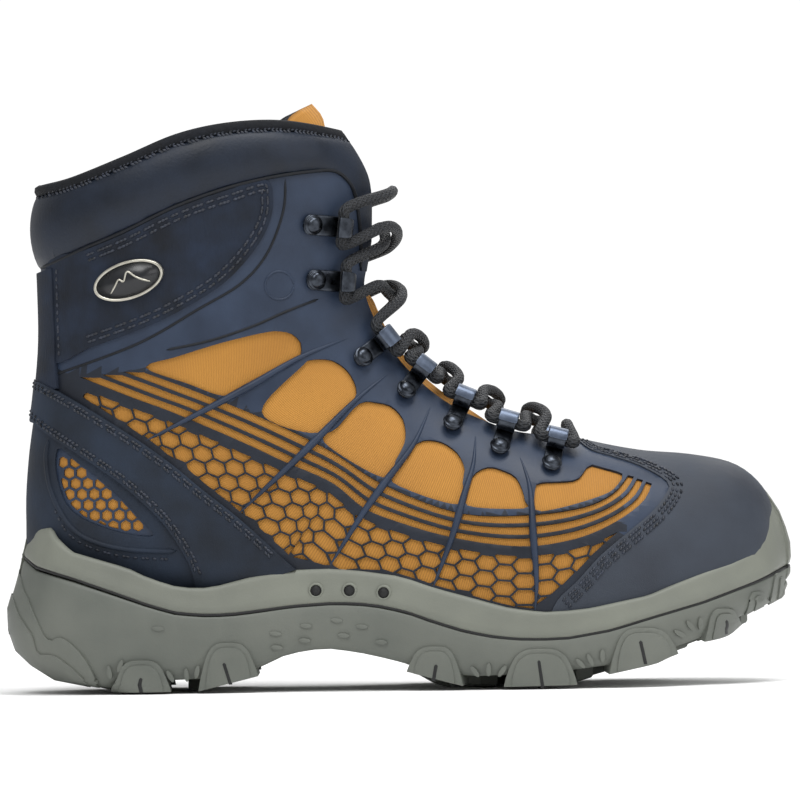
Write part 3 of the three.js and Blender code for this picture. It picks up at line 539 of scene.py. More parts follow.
def cast(across, along, formula, scale=(1.0, 1.0), bm=None):
    """A grid bent by formula(u, v) -> points. Edges that meet are welded, so a skin can close on itself."""
    own = bmesh.new()
    bmesh.ops.create_grid(own, x_segments=across, y_segments=along, size=0.5)
    flat_at = np.array([p.co[:2] for p in own.verts]) + 0.5
    layer = own.loops.layers.uv.new("UVMap")
    for face in own.faces:
        for corner in face.loops:
            u, v = corner.vert.co[0] + 0.5, corner.vert.co[1] + 0.5
            corner[layer].uv = (u * scale[0], v * scale[1])
    for p, at in zip(own.verts, formula(flat_at[:, 0], flat_at[:, 1])):
        p.co = at
    bmesh.ops.remove_doubles(own, verts=own.verts, dist=0.004)
    bmesh.ops.dissolve_degenerate(own, edges=own.edges, dist=0.002)
    bmesh.ops.recalc_face_normals(own, faces=own.faces)
    if bm is None:
        return own
    join(bm, own)
    return bm


def join(bm, other):
    """Moves one bmesh into another."""
    held = bpy.data.meshes.new("held")
    other.to_mesh(held)
    other.free()
    bm.from_mesh(held)
    bpy.data.meshes.remove(held)


# %% [markdown]
# The flat pattern is a sheet of paper 16 mm tall for each ring and 350 mm round. The back seam is at
# 0 and the crest at 175, so a panel that wraps the heel is drawn across 0 and one over the toe is
# drawn across 175.

# %% Flat pattern
RING_TALL = 16.0
ROUND = 350.0


def flat(points):
    """Side-view points (x, z) on the paper, outer side."""
    r, v = locate(points)
    return np.stack([r * RING_TALL, v * ROUND], 1)


def over_toe(paper):
    """The drawing mirrored across the crest."""
    return np.stack([paper[:, 0], ROUND - paper[:, 1]], 1)


def over_heel(paper):
    """The drawing mirrored across the back seam."""
    return np.stack([paper[:, 0], -paper[:, 1]], 1)


def on_side(paper, side):
    """The same drawing on the outer side (-1) or the inner side (1)."""
    return paper if side < 0 else over_toe(paper)


def at_heel(paper, side):
    """The same, for a drawing near the back seam, mirrored across it."""
    return paper if side < 0 else over_heel(paper)


def smooth(points, step=2.0, closed=False):
    """A curve through points, with a point about every step."""
    points = np.asarray(points, float)
    if closed:
        points = np.concatenate([points[-1:], points, points[:2]])
    fine = spline(points, np.linspace(0, len(points) - 1, 24 * len(points)))
    if closed:
        fine = spline(points, np.linspace(1, len(points) - 2, 24 * len(points)))
    gone = np.concatenate([[0], np.cumsum(np.linalg.norm(np.diff(fine, axis=0), axis=1))])
    count = max(int(round(gone[-1] / step)), 2)
    wanted = np.linspace(0, gone[-1], count + 1)
    if closed:
        wanted = wanted[:-1]
    return np.stack([np.interp(wanted, gone, fine[:, k]) for k in range(fine.shape[1])], 1)


def straight(points, step=3.0):
    """Straight runs through corners, cut into short steps."""
    points = np.asarray(points, float)
    runs = []
    for a, b in zip(points[:-1], points[1:]):
        count = max(int(np.linalg.norm(b - a) / step), 1)
        runs.append(a + (b - a) * np.linspace(0, 1, count, endpoint=False)[:, None])
    return np.concatenate([*runs, points[-1:]])


def fill(outline, holes=(), step=3.5):
    """A flat sheet with holes, sliced by a lattice so that it can bend."""
    bm = bmesh.new()
    for loop in [outline, *holes]:
        corners = [bm.verts.new((a, b, 0)) for a, b in loop]
        for one, two in zip(corners, corners[1:] + corners[:1]):
            bm.edges.new((one, two))
    bmesh.ops.triangle_fill(bm, use_beauty=True, use_dissolve=False, edges=bm.edges)
    low, high = np.min(outline, 0), np.max(outline, 0)
    for axis in (0, 1):
        across = Vector((1 - axis, axis, 0))
        for cut in np.arange(low[axis] + step, high[axis], step):
            everything = [*bm.verts, *bm.edges, *bm.faces]
            bmesh.ops.bisect_plane(bm, geom=everything, plane_co=across * cut, plane_no=across, dist=1e-4)
    return bm


def wrap(bm, top):
    """Lays a flat sheet on the last, top millimetres above it, and turns it face out."""
    paper = np.array([p.co[:2] for p in bm.verts])
    layer = bm.loops.layers.uv.new("UVMap")
    for face in bm.faces:
        for corner in face.loops:
            corner[layer].uv = (corner.vert.co[0] * TO_METRES, corner.vert.co[1] * TO_METRES)
    r, v = paper[:, 0] / RING_TALL, paper[:, 1] / ROUND
    lift = top(r, v) if callable(top) else top
    for p, at in zip(bm.verts, place(r, v, lift)):
        p.co = at
    bm.normal_update()
    out = outward(r, v)
    bm.verts.index_update()
    facing = sum(f.normal.dot(Vector(out[f.verts[0].index])) * f.calc_area() for f in bm.faces)
    if facing < 0:
        bmesh.ops.reverse_faces(bm, faces=bm.faces)
    return bm


def panel(name, outline, material, slot, top=1.8, thick=1.4, holes=(), edge=0.4, step=3.5, **keep):
    """An outline cut out, laid top millimetres above the last, and thickened towards it."""
    bm = wrap(fill(outline, holes, step), top)
    made = piece(name, bm, material, slot, **keep)
    thicken(made, thick, edge)
    print(name, "faces:", len(made.data.polygons))
    return made


# %% [markdown]
# A line on the upper, such as a rib or a row of stitches, needs a frame at each point: along the
# line, away from the last, and sideways. A rib is a tube whose section is a flat dome, drawn out to
# nothing at both ends.

# %% Lines on the last
def trace(points, step=1.5, side=-1):
    """Ring and turn of points along a smooth side-view line."""
    r, v = locate(smooth(points, step))
    return (r, v) if side < 0 else (r, 1 - v)


def round_back(points, step=1.5):
    """A line that passes round the heel: the outer half, and its mirror image."""
    r, v = locate(smooth(points, step))
    return np.concatenate([r[::-1], r[1:]]), np.concatenate([-v[::-1], v[1:]])


def over_crest(points, step=1.5):
    """A line that passes over the toe: the outer half, and its mirror image."""
    r, v = locate(smooth(points, step))
    return np.concatenate([r, r[::-1][1:]]), np.concatenate([v, 1 - v[::-1][1:]])


def frames(line, lift=0.0, shift=0.0):
    """Place, along, sideways and outward directions down a line; shift moves it sideways."""
    at = place(*line, lift)
    out = outward(*line)
    along = unit(np.gradient(at, axis=0))
    sideways = unit(np.cross(out, along))
    return at + sideways * shift, along, sideways, out


def rib(bm, line, wide, tall, lift, taper=0.25, sides=8):
    """A domed tube along a line; taper is the share of its length that thins out at each end."""
    at, _, sideways, out = frames(line, lift)
    count = len(at) - 1

    def skin(u, v):
        k = np.round(v * count).astype(int)
        angle = 2 * np.pi * u
        ends = np.clip(np.minimum(v, 1 - v) / max(taper, 1e-6), 0, 1) ** 0.6
        reach = np.cos(angle) * wide / 2 * ends
        rise = np.sin(angle) * tall * ends
        return at[k] + sideways[k] * reach[:, None] + out[k] * rise[:, None]

    return cast(sides, count, skin, bm=bm)


def stitches(bm, line, shift, lift=0.1, pitch=2.1, long=2.3, wide=1.15, slant=0.0):
    """A row of stitches along a line, each a small flattened bead."""
    at, along, sideways, out = frames(line, lift, shift)
    gone = np.concatenate([[0], np.cumsum(np.linalg.norm(np.diff(at, axis=0), axis=1))])
    for spot in np.arange(pitch / 2, gone[-1], pitch):
        k = int(np.searchsorted(gone, spot))
        tilt = along[k] + sideways[k] * slant
        tilt = Vector(tilt / np.linalg.norm(tilt))
        up = Vector(out[k])
        basis = Matrix((tilt, up.cross(tilt), up)).transposed().to_4x4()
        size = Matrix.Diagonal((long / 2, wide / 2, wide * 0.45, 1))
        middle = Matrix.Translation(at[k])
        bmesh.ops.create_uvsphere(bm, u_segments=6, v_segments=4, radius=1, matrix=middle @ basis @ size)
    return bm


# %% [markdown]
# ## Lines of the upper
# These are the seams as they run in side view. Each is drawn once, on the outer side, and mirrored.

# %% Seams in side view
SIDES = ((-1, "lateral"), (1, "medial"))
RIM = [
    (-148, 66), (-144.5, 62.5), (-134.5, 56.5), (-124.5, 54), (-109, 50), (-99, 45.5), (-89, 42.3),
    (-80.5, 41.3), (-73.5, 42), (-58, 45.8), (-43, 48), (-29.5, 48.5), (-17.5, 47.6), (0, 45),
    (13, 40.3), (34.5, 34.2), (43, 31.9), (56, 30.2), (66, 30.6), (75, 31.5), (98, 36), (121, 44.6),
    (136, 49), (143.5, 52.2), (147.4, 57.3), (148.4, 64), (147.4, 70), (144.9, 75.6),
]
COLLAR_LOW = [
    (-140.4, 169.5), (-134.8, 171.4), (-122.6, 176.8), (-107, 183.2), (-86.5, 192.8), (-66, 199.8),
    (-49.5, 203.6), (-35, 205.6), (-25, 205.9), (-19.5, 202), (-17, 197), (-15.6, 188), (-15, 177),
    (-15.2, 166.5),
]
COLLAR_TOP = [
    (-141.4, 198.4), (-138.5, 198.5), (-127, 201), (-106.5, 208.7), (-86, 217), (-66, 221.2), (-45, 222),
    (-25, 218.8), (-19, 216.4),
]
STRAP_TOP = [
    (-142.1, 124.9), (-137, 122.5), (-124, 114.6), (-113, 107.5), (-101.5, 99.7), (-90, 91), (-79, 81.6),
    (-63.7, 69.2), (-48.5, 55.3), (-41, 48.5), (-36, 43),
]
STRAP_LOW = [
    (-144, 109.2), (-137.4, 103.4), (-128.3, 97), (-117, 89), (-108, 82), (-94.3, 68.8), (-85.3, 55.8),
    (-81.7, 48), (-80, 38),
]
CAP_LINE = [
    (58, 28), (62, 35.5), (69.5, 42.5), (79, 52.3), (90.5, 61.3), (100, 68.8), (106, 76), (105.5, 80),
    (95, 86), (83.5, 90), (76, 92.4), (70, 96.9),
]
ANKLE = [
    (-137, 170), (-122.6, 176), (-107, 182.3), (-86.5, 192), (-66, 199), (-51, 202.8), (-48.6, 194.4),
    (-50, 186.3), (-54.1, 178.2), (-60.3, 170.2), (-68.6, 162.1), (-79, 155.3), (-92.3, 148.3),
    (-105.6, 142.9), (-120, 137.9), (-137, 133.2),
]
HEEL_WINDOW = [
    (-134.4, 97.5), (-135.3, 91), (-134.2, 83.4), (-131.4, 75.7), (-125.7, 70.3), (-117.3, 66.5),
    (-108.2, 63.8), (-99, 62.5), (-97.5, 63.8), (-102, 69.1), (-109.5, 77.6), (-117, 84.7),
    (-124.6, 91), (-132, 97.2),
]
THROAT_DEPTH = 4.6
SHAFT_DEPTH = 1.3


def throat_edge(r):
    """Side-view edge of the throat: a little inside the crest, nearly closed above the ankle."""
    row = spline(RINGS, r)[:, 2:4]
    back = spline(RINGS, r + 0.1)[:, 2:4]
    fore = spline(RINGS, r - 0.1)[:, 2:4]
    along = unit(fore - back)
    shaft = smoothstep(r, 13, 14.8)
    depth = (THROAT_DEPTH + (SHAFT_DEPTH - THROAT_DEPTH) * shaft) * smoothstep(r, 6.2, 8)
    return row + np.stack([along[:, 1], -along[:, 0]], 1) * depth[:, None]


THROAT = throat_edge(np.arange(6.4, 20.6, 0.25))
print("throat runs from", np.round(THROAT[0]).tolist(), "to", np.round(THROAT[-1]).tolist())

# %% [markdown]
# ## Cage
# A moulded film is welded over the ochre textile. It has six tall windows under the lace loops, three
# long slots that sweep from the ankle to the toe, and a honeycomb below them. On the real boot it is
# cut and pressed in one step. Here each opening is a hole in the flat pattern, and the ribs are added
# on top.

# %% Windows, slots and honeycomb
WINDOWS = [
    [(-99.5, 129.3), (-87, 133.4), (-69, 138.7), (-51.5, 142.6), (-45.5, 142.6), (-41.5, 141.5),
     (-38.6, 138.5), (-38, 136), (-39.5, 131.4), (-49, 126.6), (-59, 122), (-68.5, 117.6),
     (-83, 122.6)],
    [(-37.5, 129), (-34.5, 131), (-27.5, 131), (-23, 129), (-19, 125), (-16.5, 119), (-17.8, 114.5),
     (-24.5, 109), (-33.8, 102), (-54, 110.8)],
    [(-29.5, 98.4), (-24, 104.2), (-17, 112), (-13, 114), (-8.5, 113.5), (-3, 112), (1, 108),
     (2.5, 104), (2.5, 98), (-1, 91), (-6.4, 84)],
    [(-2.5, 82), (1, 89), (5.5, 95.5), (9.5, 98), (14, 98), (18.5, 96.5), (23.5, 92.5), (26, 87),
     (25.3, 82.5), (22.8, 72.9)],
    [(27, 72.4), (27.9, 80.5), (29.4, 84), (33, 86.5), (37, 87), (41.5, 85.5), (46, 83), (48.6, 78),
     (49.4, 74), (49.4, 70.8)],
    [(53.6, 70.2), (53.5, 77.6), (54, 79.8), (56, 80.6), (67.5, 81), (71, 82), (73.5, 85), (75.6, 87),
     (80.5, 85.8), (88.4, 83.2), (87.6, 80.8), (83, 76.4), (72, 72.8), (60, 70.1)],
]
SLOT_TOP = [
    (-100, 128), (-83, 121.5), (-54.5, 109.5), (-27.5, 96), (-6, 82), (23, 70.5), (50, 69), (72, 71.5),
    (84, 76.5), (90, 83),
]
BAND = [
    (-126, 124.3), (-104.5, 115.5), (-89, 109.5), (-63.5, 98), (-46, 89.5), (-27.5, 81), (-14.5, 70.5),
    (0, 64.5), (18, 59), (36.5, 55.5), (52, 54.5), (67, 56.5), (78, 59.8), (89.5, 65.5), (98, 72),
    (101.5, 78.5),
]
BAND_HALF = 1.7
BAR = 0.7  # half the width of the bars between the slots
WALL = 0.38  # half the width of the honeycomb's walls


def even(points, count):
    """A line with a given number of equal steps."""
    line = smooth(points, 0.5)
    return spline(line, np.linspace(0, len(line) - 1, count))


def beside(line, by):
    """A side-view line moved sideways, towards the sole for a positive amount."""
    along = unit(np.gradient(line, axis=0))
    return line + np.stack([along[:, 1], -along[:, 0]], 1) * by


def slots():
    """The three slots between the windows and the band."""
    top = even(SLOT_TOP, 70)
    low = beside(even(BAND, 70), -BAND_HALF + BAR)
    made = []
    for k in range(3):
        upper = beside(top + (low - top) * k / 3, BAR)
        lower = beside(top + (low - top) * (k + 1) / 3, -BAR)
        made.append(np.concatenate([upper, lower[::-1]]))
    return made


def clip(shape, at, normal):
    """Cuts a convex outline by a line, keeping the side the normal points to."""
    kept = []
    for a, b in zip(shape, np.roll(shape, -1, axis=0)):
        da, db = np.dot(a - at, normal), np.dot(b - at, normal)
        if da >= 0:
            kept.append(a)
        if da * db < 0:
            kept.append(a + (b - a) * da / (da - db))
    return np.array(kept).reshape(-1, 2)


def area(shape):
    """The area inside an outline."""
    x, z = shape[:, 0], shape[:, 1]
    return abs(np.dot(x, np.roll(z, -1)) - np.dot(z, np.roll(x, -1))) / 2


def hexagon(long, tall):
    """A cell drawn out along its first axis, with its walls already taken off."""
    return np.array([
        (-long, 0), (-long / 2, -tall), (long / 2, -tall), (long, 0), (long / 2, tall), (-long / 2, tall)
    ])


CELL_LONG, CELL_TALL = 4.7, 3.1
CELLS_UP = 2.2  # the first row starts this far behind the band, which cuts it
STRAP_GAP, RIM_GAP, CAP_GAP = 2.2, 0.5, 3.2  # film left between the cells and what stops them
SMALLEST = 3.0  # square millimetres: a smaller scrap of a cell is left out


def honeycomb():
    """Cells under the band, down to the strap, the sole's rim or the toe cap, whichever comes first."""
    line = smooth(BAND, 1.0)
    along = unit(np.gradient(line, axis=0))
    down = np.stack([along[:, 1], -along[:, 0]], 1)
    strap = smooth(STRAP_TOP, 1.0)
    rim = smooth(RIM, 1.0)[:400]  # up to where it turns back at the toe
    cap = smooth(CAP_LINE[:8], 1.0)
    depths = np.arange(0, 60, 0.5)
    limit = np.zeros(len(line))
    for i in range(len(line)):
        points = line[i] + down[i] * depths[:, None]
        x, z = points[:, 0], points[:, 1]
        at_strap = (x < STRAP_TOP[-1][0]) & (z < np.interp(x, strap[:, 0], strap[:, 1]) + STRAP_GAP)
        at_rim = z < np.interp(x, rim[:, 0], rim[:, 1]) + RIM_GAP
        at_cap = x > np.interp(z, cap[:, 1], cap[:, 0]) - CAP_GAP
        stopped = at_strap | at_rim | at_cap
        limit[i] = depths[np.argmax(stopped)] if stopped.any() else 0
    cells = []
    tall = CELL_TALL - WALL
    for column in range(int(len(line) / (1.5 * CELL_LONG)) + 1):
        centre = column * 1.5 * CELL_LONG
        for row in range(20):
            depth = BAND_HALF + CELL_TALL + row * 2 * CELL_TALL + (column % 2) * CELL_TALL - CELLS_UP
            cell = hexagon(CELL_LONG - WALL, tall) + (centre, depth)
            cell = clip(cell, np.array((0, BAND_HALF + WALL)), np.array((0, 1)))
            i, j = int(max(centre - CELL_LONG, 0)), int(min(centre + CELL_LONG, len(line) - 1))
            if i >= j or len(cell) < 3:
                continue
            edge = np.array((j - i, limit[j] - limit[i]))
            keep = np.array((edge[1], -edge[0])) / np.linalg.norm(edge)
            cell = clip(cell, np.array((i, limit[i] - 1.0)), keep)
            cell = clip(cell, np.array((4, 0)), np.array((1, 0)))
            if len(cell) < 3 or area(cell) < SMALLEST:
                continue
            s = np.clip(cell[:, 0], 0, len(line) - 1)
            cells.append(spline(line, s) + spline(down, s) * cell[:, 1:2])
    return cells


slot_holes = slots()
cells = honeycomb()
print("slots:", len(slot_holes), "honeycomb cells:", len(cells))

# %% [markdown]
# The cage's own outline follows the sole's rim, the toe cap, the throat, the collar's foot, the back
# seam and the hidden side of the strap. The ochre textile below it is the same outline, left whole.

# %% Cage and textile, both sides
bottom = straight([(x, z - 2.5) for x, z in RIM[9:19]], 4)
under_cap = [
    (66, 29), (70, 36), (78, 44), (92, 56), (104.5, 68.5), (108.3, 77), (100, 84.5), (84, 91),
    (76.5, 93.5),
]
under_strap = [(-140, 112), (-124, 104), (-113, 97), (-101.5, 87.5), (-90, 77), (-80, 64), (-72, 52)]
throat_line = THROAT[:-6]
top_line = smooth(COLLAR_LOW[:10], 4)[::-1] + (0, 2.0)
back = spline(RINGS, np.linspace(18.2, 16.1, 8))[:, 0:2]
CAGE = np.concatenate([
    bottom,
    smooth(under_cap, 3),
    throat_line,
    top_line,
    back + (0.4, 0),
    smooth(under_strap, 4),
    [(-72, 40)],
])
PAINTED_SHADE_ENDS = 88  # the painted shade stops at this x, where the slots run out


def paint_cage_shade(cage):
    """Paints shade: the slots' bars, the band, the honeycomb and every cut edge take the darker film as
    their shadow.
    """
    cage.data.materials.append(PAINTED_SHADE_FILM)
    line = smooth(SLOT_TOP, 1.0)
    middles = np.array([f.center for f in cage.data.polygons]) / TO_METRES
    # Painted shade on the faces below the top of the slots, short of where they run out.
    low = middles[:, 2] < np.interp(middles[:, 0], line[:, 0], line[:, 1]) + 0.6
    shade_faces = low & (middles[:, 0] < PAINTED_SHADE_ENDS)
    cage.data.polygons.foreach_set("material_index", shade_faces.astype(np.int32))
    # The cut edges take the darker film too: painted shade on the sides of every opening.
    cage.modifiers["thickness"].material_offset_rim = 1


for side, tag in SIDES:
    base = on_side(flat(CAGE), side)
    stands = (f"quarter_{tag}",)
    panel(f"textile_{tag}", base, OCHRE, "ochre_textile", top=0.2, thick=1.2, stands_for=stands)
    holes = [on_side(flat(h), side) for h in slot_holes + cells]
    holes += [on_side(flat(smooth(w, 2.5, closed=True)), side) for w in WINDOWS]
    cage = panel(
        f"cage_{tag}",
        base,
        FILM,
        "slate_synthetic",
        top=1.3,
        thick=1.0,
        holes=holes,
        edge=0.2,
        stands_for=(f"eyestay_{tag}",),
    )
    paint_cage_shade(cage)

# %% [markdown]
# Five ribs fan out from between the lace loops and cross the windows, the slots and the honeycomb.
# Two thin raised lines cross the ankle. All are pressed from the same film, so they are domed tubes
# sunk into the cage.

# %% Ribs
RIBS = [
    [(-18, 140), (-38, 132.5), (-59, 121), (-83.5, 108.5), (-101.5, 99.5)],
    [(-3, 125.5), (-16.5, 115), (-32, 100), (-42, 90.5), (-64.5, 70)],
    [(13, 112.5), (6, 97), (-6, 81.5), (-15.5, 68.5), (-28.5, 48.6)],
    [(30.5, 100.5), (29.5, 88.5), (26, 77.5), (21, 61), (12.5, 39.5)],
    [(47.5, 91.5), (51.5, 79), (52.5, 61), (53.5, 42), (52.5, 29.5)],
]
THIN_LINES = [
    [(-91.5, 136), (-74, 139.5), (-57, 145), (-44, 150.6), (-31, 155.5)],
    [(-43.5, 203.5), (-44.5, 190.5), (-51, 174), (-61.5, 162), (-78.5, 152), (-103, 138.5), (-138, 126)],
]
for side, tag in SIDES:
    ribs = bmesh.new()
    for line in RIBS:
        rib(ribs, trace(line, 2, side), 3.2, 1.7, 1.1, taper=0.5)
    piece(f"cage_ribs_{tag}", ribs, FILM, "slate_synthetic")
    edges = bmesh.new()
    for line in THIN_LINES:
        rib(edges, trace(line, 2, side), 1.1, 0.5, 1.25, taper=0.03)
    piece(f"cage_lines_{tag}", edges, BINDING, "slate_synthetic")

# %% [markdown]
# A plain raised ring is pressed into the film behind the upper hooks. It stands where such boots
# carry an embossed mark, and says nothing.

# %% Pressed ring
RING_AT = (-46.5, 161)
RING_RADIUS = 5.6
for side, tag in SIDES:
    turn = np.linspace(0, 2 * np.pi, 41)
    circle = np.stack([RING_AT[0] + RING_RADIUS * np.cos(turn), RING_AT[1] + RING_RADIUS * np.sin(turn)], 1)
    r, v = locate(circle)
    ring = rib(bmesh.new(), (r, v if side < 0 else 1 - v), 1.0, 0.55, 1.15, taper=0)
    piece(f"pressed_ring_{tag}", ring, FILM, "slate_synthetic")

# %% [markdown]
# ## Ankle, back, heel and strap
# These are cut leather, so each is a panel with a thickness and a soft edge. The panels that pass
# round the heel are drawn across the back seam: the outer outline, then its mirror image read
# backwards.

# %% Leather panels
ANKLE_FACE, HEEL_FACE, STRAP_FACE, CAP_FACE = 2.2, 1.8, 3.5, 1.9  # how far each stands off the last
ankle = smooth(ANKLE, 2.5, closed=True)
for side, tag in SIDES:
    outline = on_side(flat(ankle), side)
    stands = (f"ankle_panel_{tag}",)
    panel(f"ankle_{tag}", outline, NUBUCK, "navy_nubuck", top=ANKLE_FACE, stands_for=stands)

half_back = flat([(-134.5, 169.5), (-134.2, 150), (-134, 133), (-133.5, 121.5)])
seam = np.concatenate([half_back, over_heel(half_back)[::-1]])
backstay = straight(seam, 3)
panel("backstay_strip", backstay, NUBUCK, "navy_nubuck", top=2.9, thick=2.2, stands_for=("backstay",))


def wrapped(upper, lower):
    """A closed outline round the heel between two side-view lines that both start at the back."""
    top, low = flat(upper), flat(lower)
    start_top, start_low = top[0] * (1, 0), low[0] * (1, 0)
    outer = np.concatenate([[start_top], top[1:], low[::-1][:-1], [start_low]])
    return np.concatenate([outer, over_heel(outer[1:-1])[::-1]])


heel_top = beside(smooth(STRAP_LOW, 2.5), -3.0)
heel_rim = np.array([(x, z - 3.5) for x, z in smooth(RIM[:9], 3)])
heel_rim = heel_rim[heel_rim[:, 0] < -80]
heel_rim = np.concatenate([[(-146.9, 60)], heel_rim[1:]])
heel_hole = flat(smooth(HEEL_WINDOW, 2, closed=True))
panel(
    "heel_quarter",
    wrapped(heel_top, heel_rim),
    LEATHER,
    "navy_synthetic",
    top=HEEL_FACE,
    holes=[heel_hole, over_heel(heel_hole)],
    stands_for=("heel_cover",),
)
strap_top = [*STRAP_TOP[:-2], (-43.5, 50.8), (-41, 48.6)]  # it ends above the sole's rim
panel(
    "heel_strap_band",
    wrapped(smooth(strap_top, 2.5), smooth(STRAP_LOW, 2.5)),
    LEATHER,
    "slate_synthetic",
    top=STRAP_FACE,
    thick=1.7,
    edge=0.5,
    stands_for=("heel_strap",),
)

# %% [markdown]
# The heel window shows ochre cloth behind a net of small even hexagons. The net is one sheet with a
# hole for each cell, and each cell is a hexagon cut by the edges of the window.

# %% Heel window
CELL = 4.9
NET_BAR = 0.45  # half the width of the net's lines
NET_ROWS = 14  # more than enough to cover the window
SIXTY = 0.866  # sine of sixty degrees: the height of a row of hexagons
FRAME_LINE = [
    (-137.4, 101.5), (-138.7, 94.2), (-137.7, 83.4), (-134, 73.4), (-128.8, 65.7), (-121.2, 61),
    (-109, 57.8), (-93.7, 56.7), (-88, 56.9),
]


def net_cells(outline):
    """Even hexagons, each cut by every edge of the outline."""
    low = outline.min(0)
    middle = outline.mean(0)
    made = []
    turn = np.pi / 6 + np.arange(6) * np.pi / 3
    corners = (CELL / 2 - NET_BAR) / SIXTY * np.stack([np.cos(turn), np.sin(turn)], 1)
    for row in range(NET_ROWS):
        for column in range(NET_ROWS):
            x = low[0] + (column + 0.5 * (row % 2)) * CELL
            z = low[1] + row * CELL * SIXTY
            cell = np.array((x, z)) + corners
            for a, b in zip(outline, np.roll(outline, -1, axis=0)):
                inward = np.array((b[1] - a[1], a[0] - b[0]))
                inward = inward / np.linalg.norm(inward)
                inward = inward if np.dot(middle - a, inward) > 0 else -inward
                if len(cell) > 2:
                    cell = clip(cell, a + inward * 0.8, inward)
            if len(cell) > 2 and area(cell) > SMALLEST:
                made.append(cell)
    return made


window = smooth(HEEL_WINDOW, 2, closed=True)
centre = window.mean(0)
wide_window = centre + (window - centre) * 1.05
for side, tag in SIDES:
    cloth = at_heel(flat(wide_window), side)
    kept = {"thick": 0.7, "stands_for": (f"heel_window_{tag}",)}
    panel(f"heel_cloth_{tag}", cloth, OCHRE, "ochre_textile", top=0.2, edge=0.1, **kept)
    net = [at_heel(flat(c), side) for c in net_cells(np.array(HEEL_WINDOW))]
    panel(f"heel_net_{tag}", cloth, FILM, "slate_synthetic", top=1.0, thick=0.7, holes=net, edge=0.15)
    r, v = locate(smooth(FRAME_LINE, 1.5))
    bead = rib(bmesh.new(), (r, v if side < 0 else -v), 2.2, 1.1, 1.7, taper=0.04)
    piece(f"heel_bead_{tag}", bead, LEATHER, "navy_synthetic")

# %% [markdown]
# ## Toe cap
# The toe cap is one piece of oiled leather pulled over the toe. It is drawn across the crest.

# %% Toe cap
cap_edge = smooth(CAP_LINE, 2.5)
cap_edge = cap_edge[cap_edge[:, 1] > 30]
toe_rim = smooth([(x + 0.012 * (x - 60), z - 3.0 - 0.03 * (x - 60)) for x, z in RIM[18:23]], 3)
toe_rim = toe_rim[toe_rim[:, 0] > cap_edge[0, 0] + 2]
TIP_RING = 0.3
tip_turns = np.arange(ROUND / 2 - 1.5, flat(toe_rim[-1:])[0, 1] + 6, -6.0)
toe_tip = np.stack([np.full(len(tip_turns), TIP_RING * RING_TALL), tip_turns], 1)
outer = np.concatenate([toe_tip, flat(np.concatenate([toe_rim[::-1], cap_edge]))])
outer = outer[outer[:, 1] < ROUND / 2 - 1.0]
cap_outline = np.concatenate([outer, over_toe(outer)[::-1]])
TIP_SUNK = 1.3


def cap_height(r, v):
    """The leather sinks behind the rubber at the toe's tip."""
    return CAP_FACE - TIP_SUNK * (1 - smoothstep(r, 0.6, 2.6))


panel(
    "toe_leather",
    cap_outline,
    TOE_LEATHER,
    "navy_nubuck",
    top=cap_height,
    thick=1.6,
    edge=0.5,
    stands_for=("toe_cap",),
)
vamp_edge = smooth([(64, 26), (68, 38), (78, 48), (92, 60), (102, 70), (103, 78), (94, 83)], 3)
vamp_outer = flat(np.concatenate([toe_rim[::-1], vamp_edge, [(66, 92)], [(60, 99.0)]]))
vamp_outer = np.concatenate([toe_tip, vamp_outer])
vamp_outer = vamp_outer[vamp_outer[:, 1] < ROUND / 2 - 0.5]
vamp_outline = np.concatenate([vamp_outer, over_toe(vamp_outer)[::-1]])
panel("vamp_lining", vamp_outline, FILM, "slate_synthetic", top=0.0, thick=1.2, stands_for=("vamp",))

# %% [markdown]
# ## Stitching
# Strap, toe cap and ankle panel are sewn with two or three rows of heavy thread. A stitch is one
# small bead laid on the panel. It has only a few faces, because there are more than a thousand.

# %% Stitch rows
thread = bmesh.new()
for shift, slant in ((-1.5, 0.3), (-3.0, -0.3)):
    stitches(thread, round_back(STRAP_TOP[:-2]), shift, lift=STRAP_FACE, slant=slant)
for shift, slant in ((1.5, -0.3), (3.0, 0.3)):
    stitches(thread, round_back(STRAP_LOW[:-1]), shift, lift=STRAP_FACE, slant=slant)
for shift in (-1.6, -3.3, -5.0):
    stitches(thread, over_crest(CAP_LINE[1:]), shift, lift=CAP_FACE, slant=0.2)
piece("stitching_strap_toe", thread, THREAD, "navy_synthetic")

for side, tag in SIDES:
    thread = bmesh.new()
    line = trace(ANKLE[1:-1], side=side)
    for shift in (2.2, 4.4):
        stitches(thread, line, shift * side, lift=ANKLE_FACE)
    line = trace([(-132.6, 134), (-132.8, 150), (-133, 168)], side=side)
    stitches(thread, line, 0, lift=ANKLE_FACE, pitch=2.6, long=2)
    r, v = locate(smooth([(-136, 74), (-131, 64.5), (-122, 58.6), (-109, 55), (-91, 53.6)], 1.5))
    stitches(thread, (r, v if side < 0 else -v), 0, lift=HEEL_FACE, pitch=2.6, long=2)
    piece(f"stitching_{tag}", thread, THREAD, "navy_nubuck")

# %% [markdown]
# ## Padded collar
# The collar is foam under soft film, closed by a seam at its foot and a braided one at its top. The
# foam swells between the two seams and thins towards the throat, so the sheet is lifted by a formula
# of how far up the band a point is. It holds its shape by itself, so a formula gives the swell that a
# simulation would.

# %% Collar
PAD = 4.6
collar_low_line = smooth(COLLAR_LOW[:9], 1.0)
collar_top_line = smooth(COLLAR_TOP, 1.0)


def padding(r, v):
    """Lift of the collar above the last, by height between its two seams."""
    x, _, z = on_last(r, v).T
    low = np.interp(x, collar_low_line[:, 0], collar_low_line[:, 1])
    top = np.interp(x, collar_top_line[:, 0], collar_top_line[:, 1])
    s = np.clip((z - low) / (top - low), 0, 1)
    front_strip = smoothstep(x, -34, -16)
    return 1 + 1.2 * front_strip + (PAD - 1) * (1 - front_strip) * np.sin(np.pi * s) ** 0.6


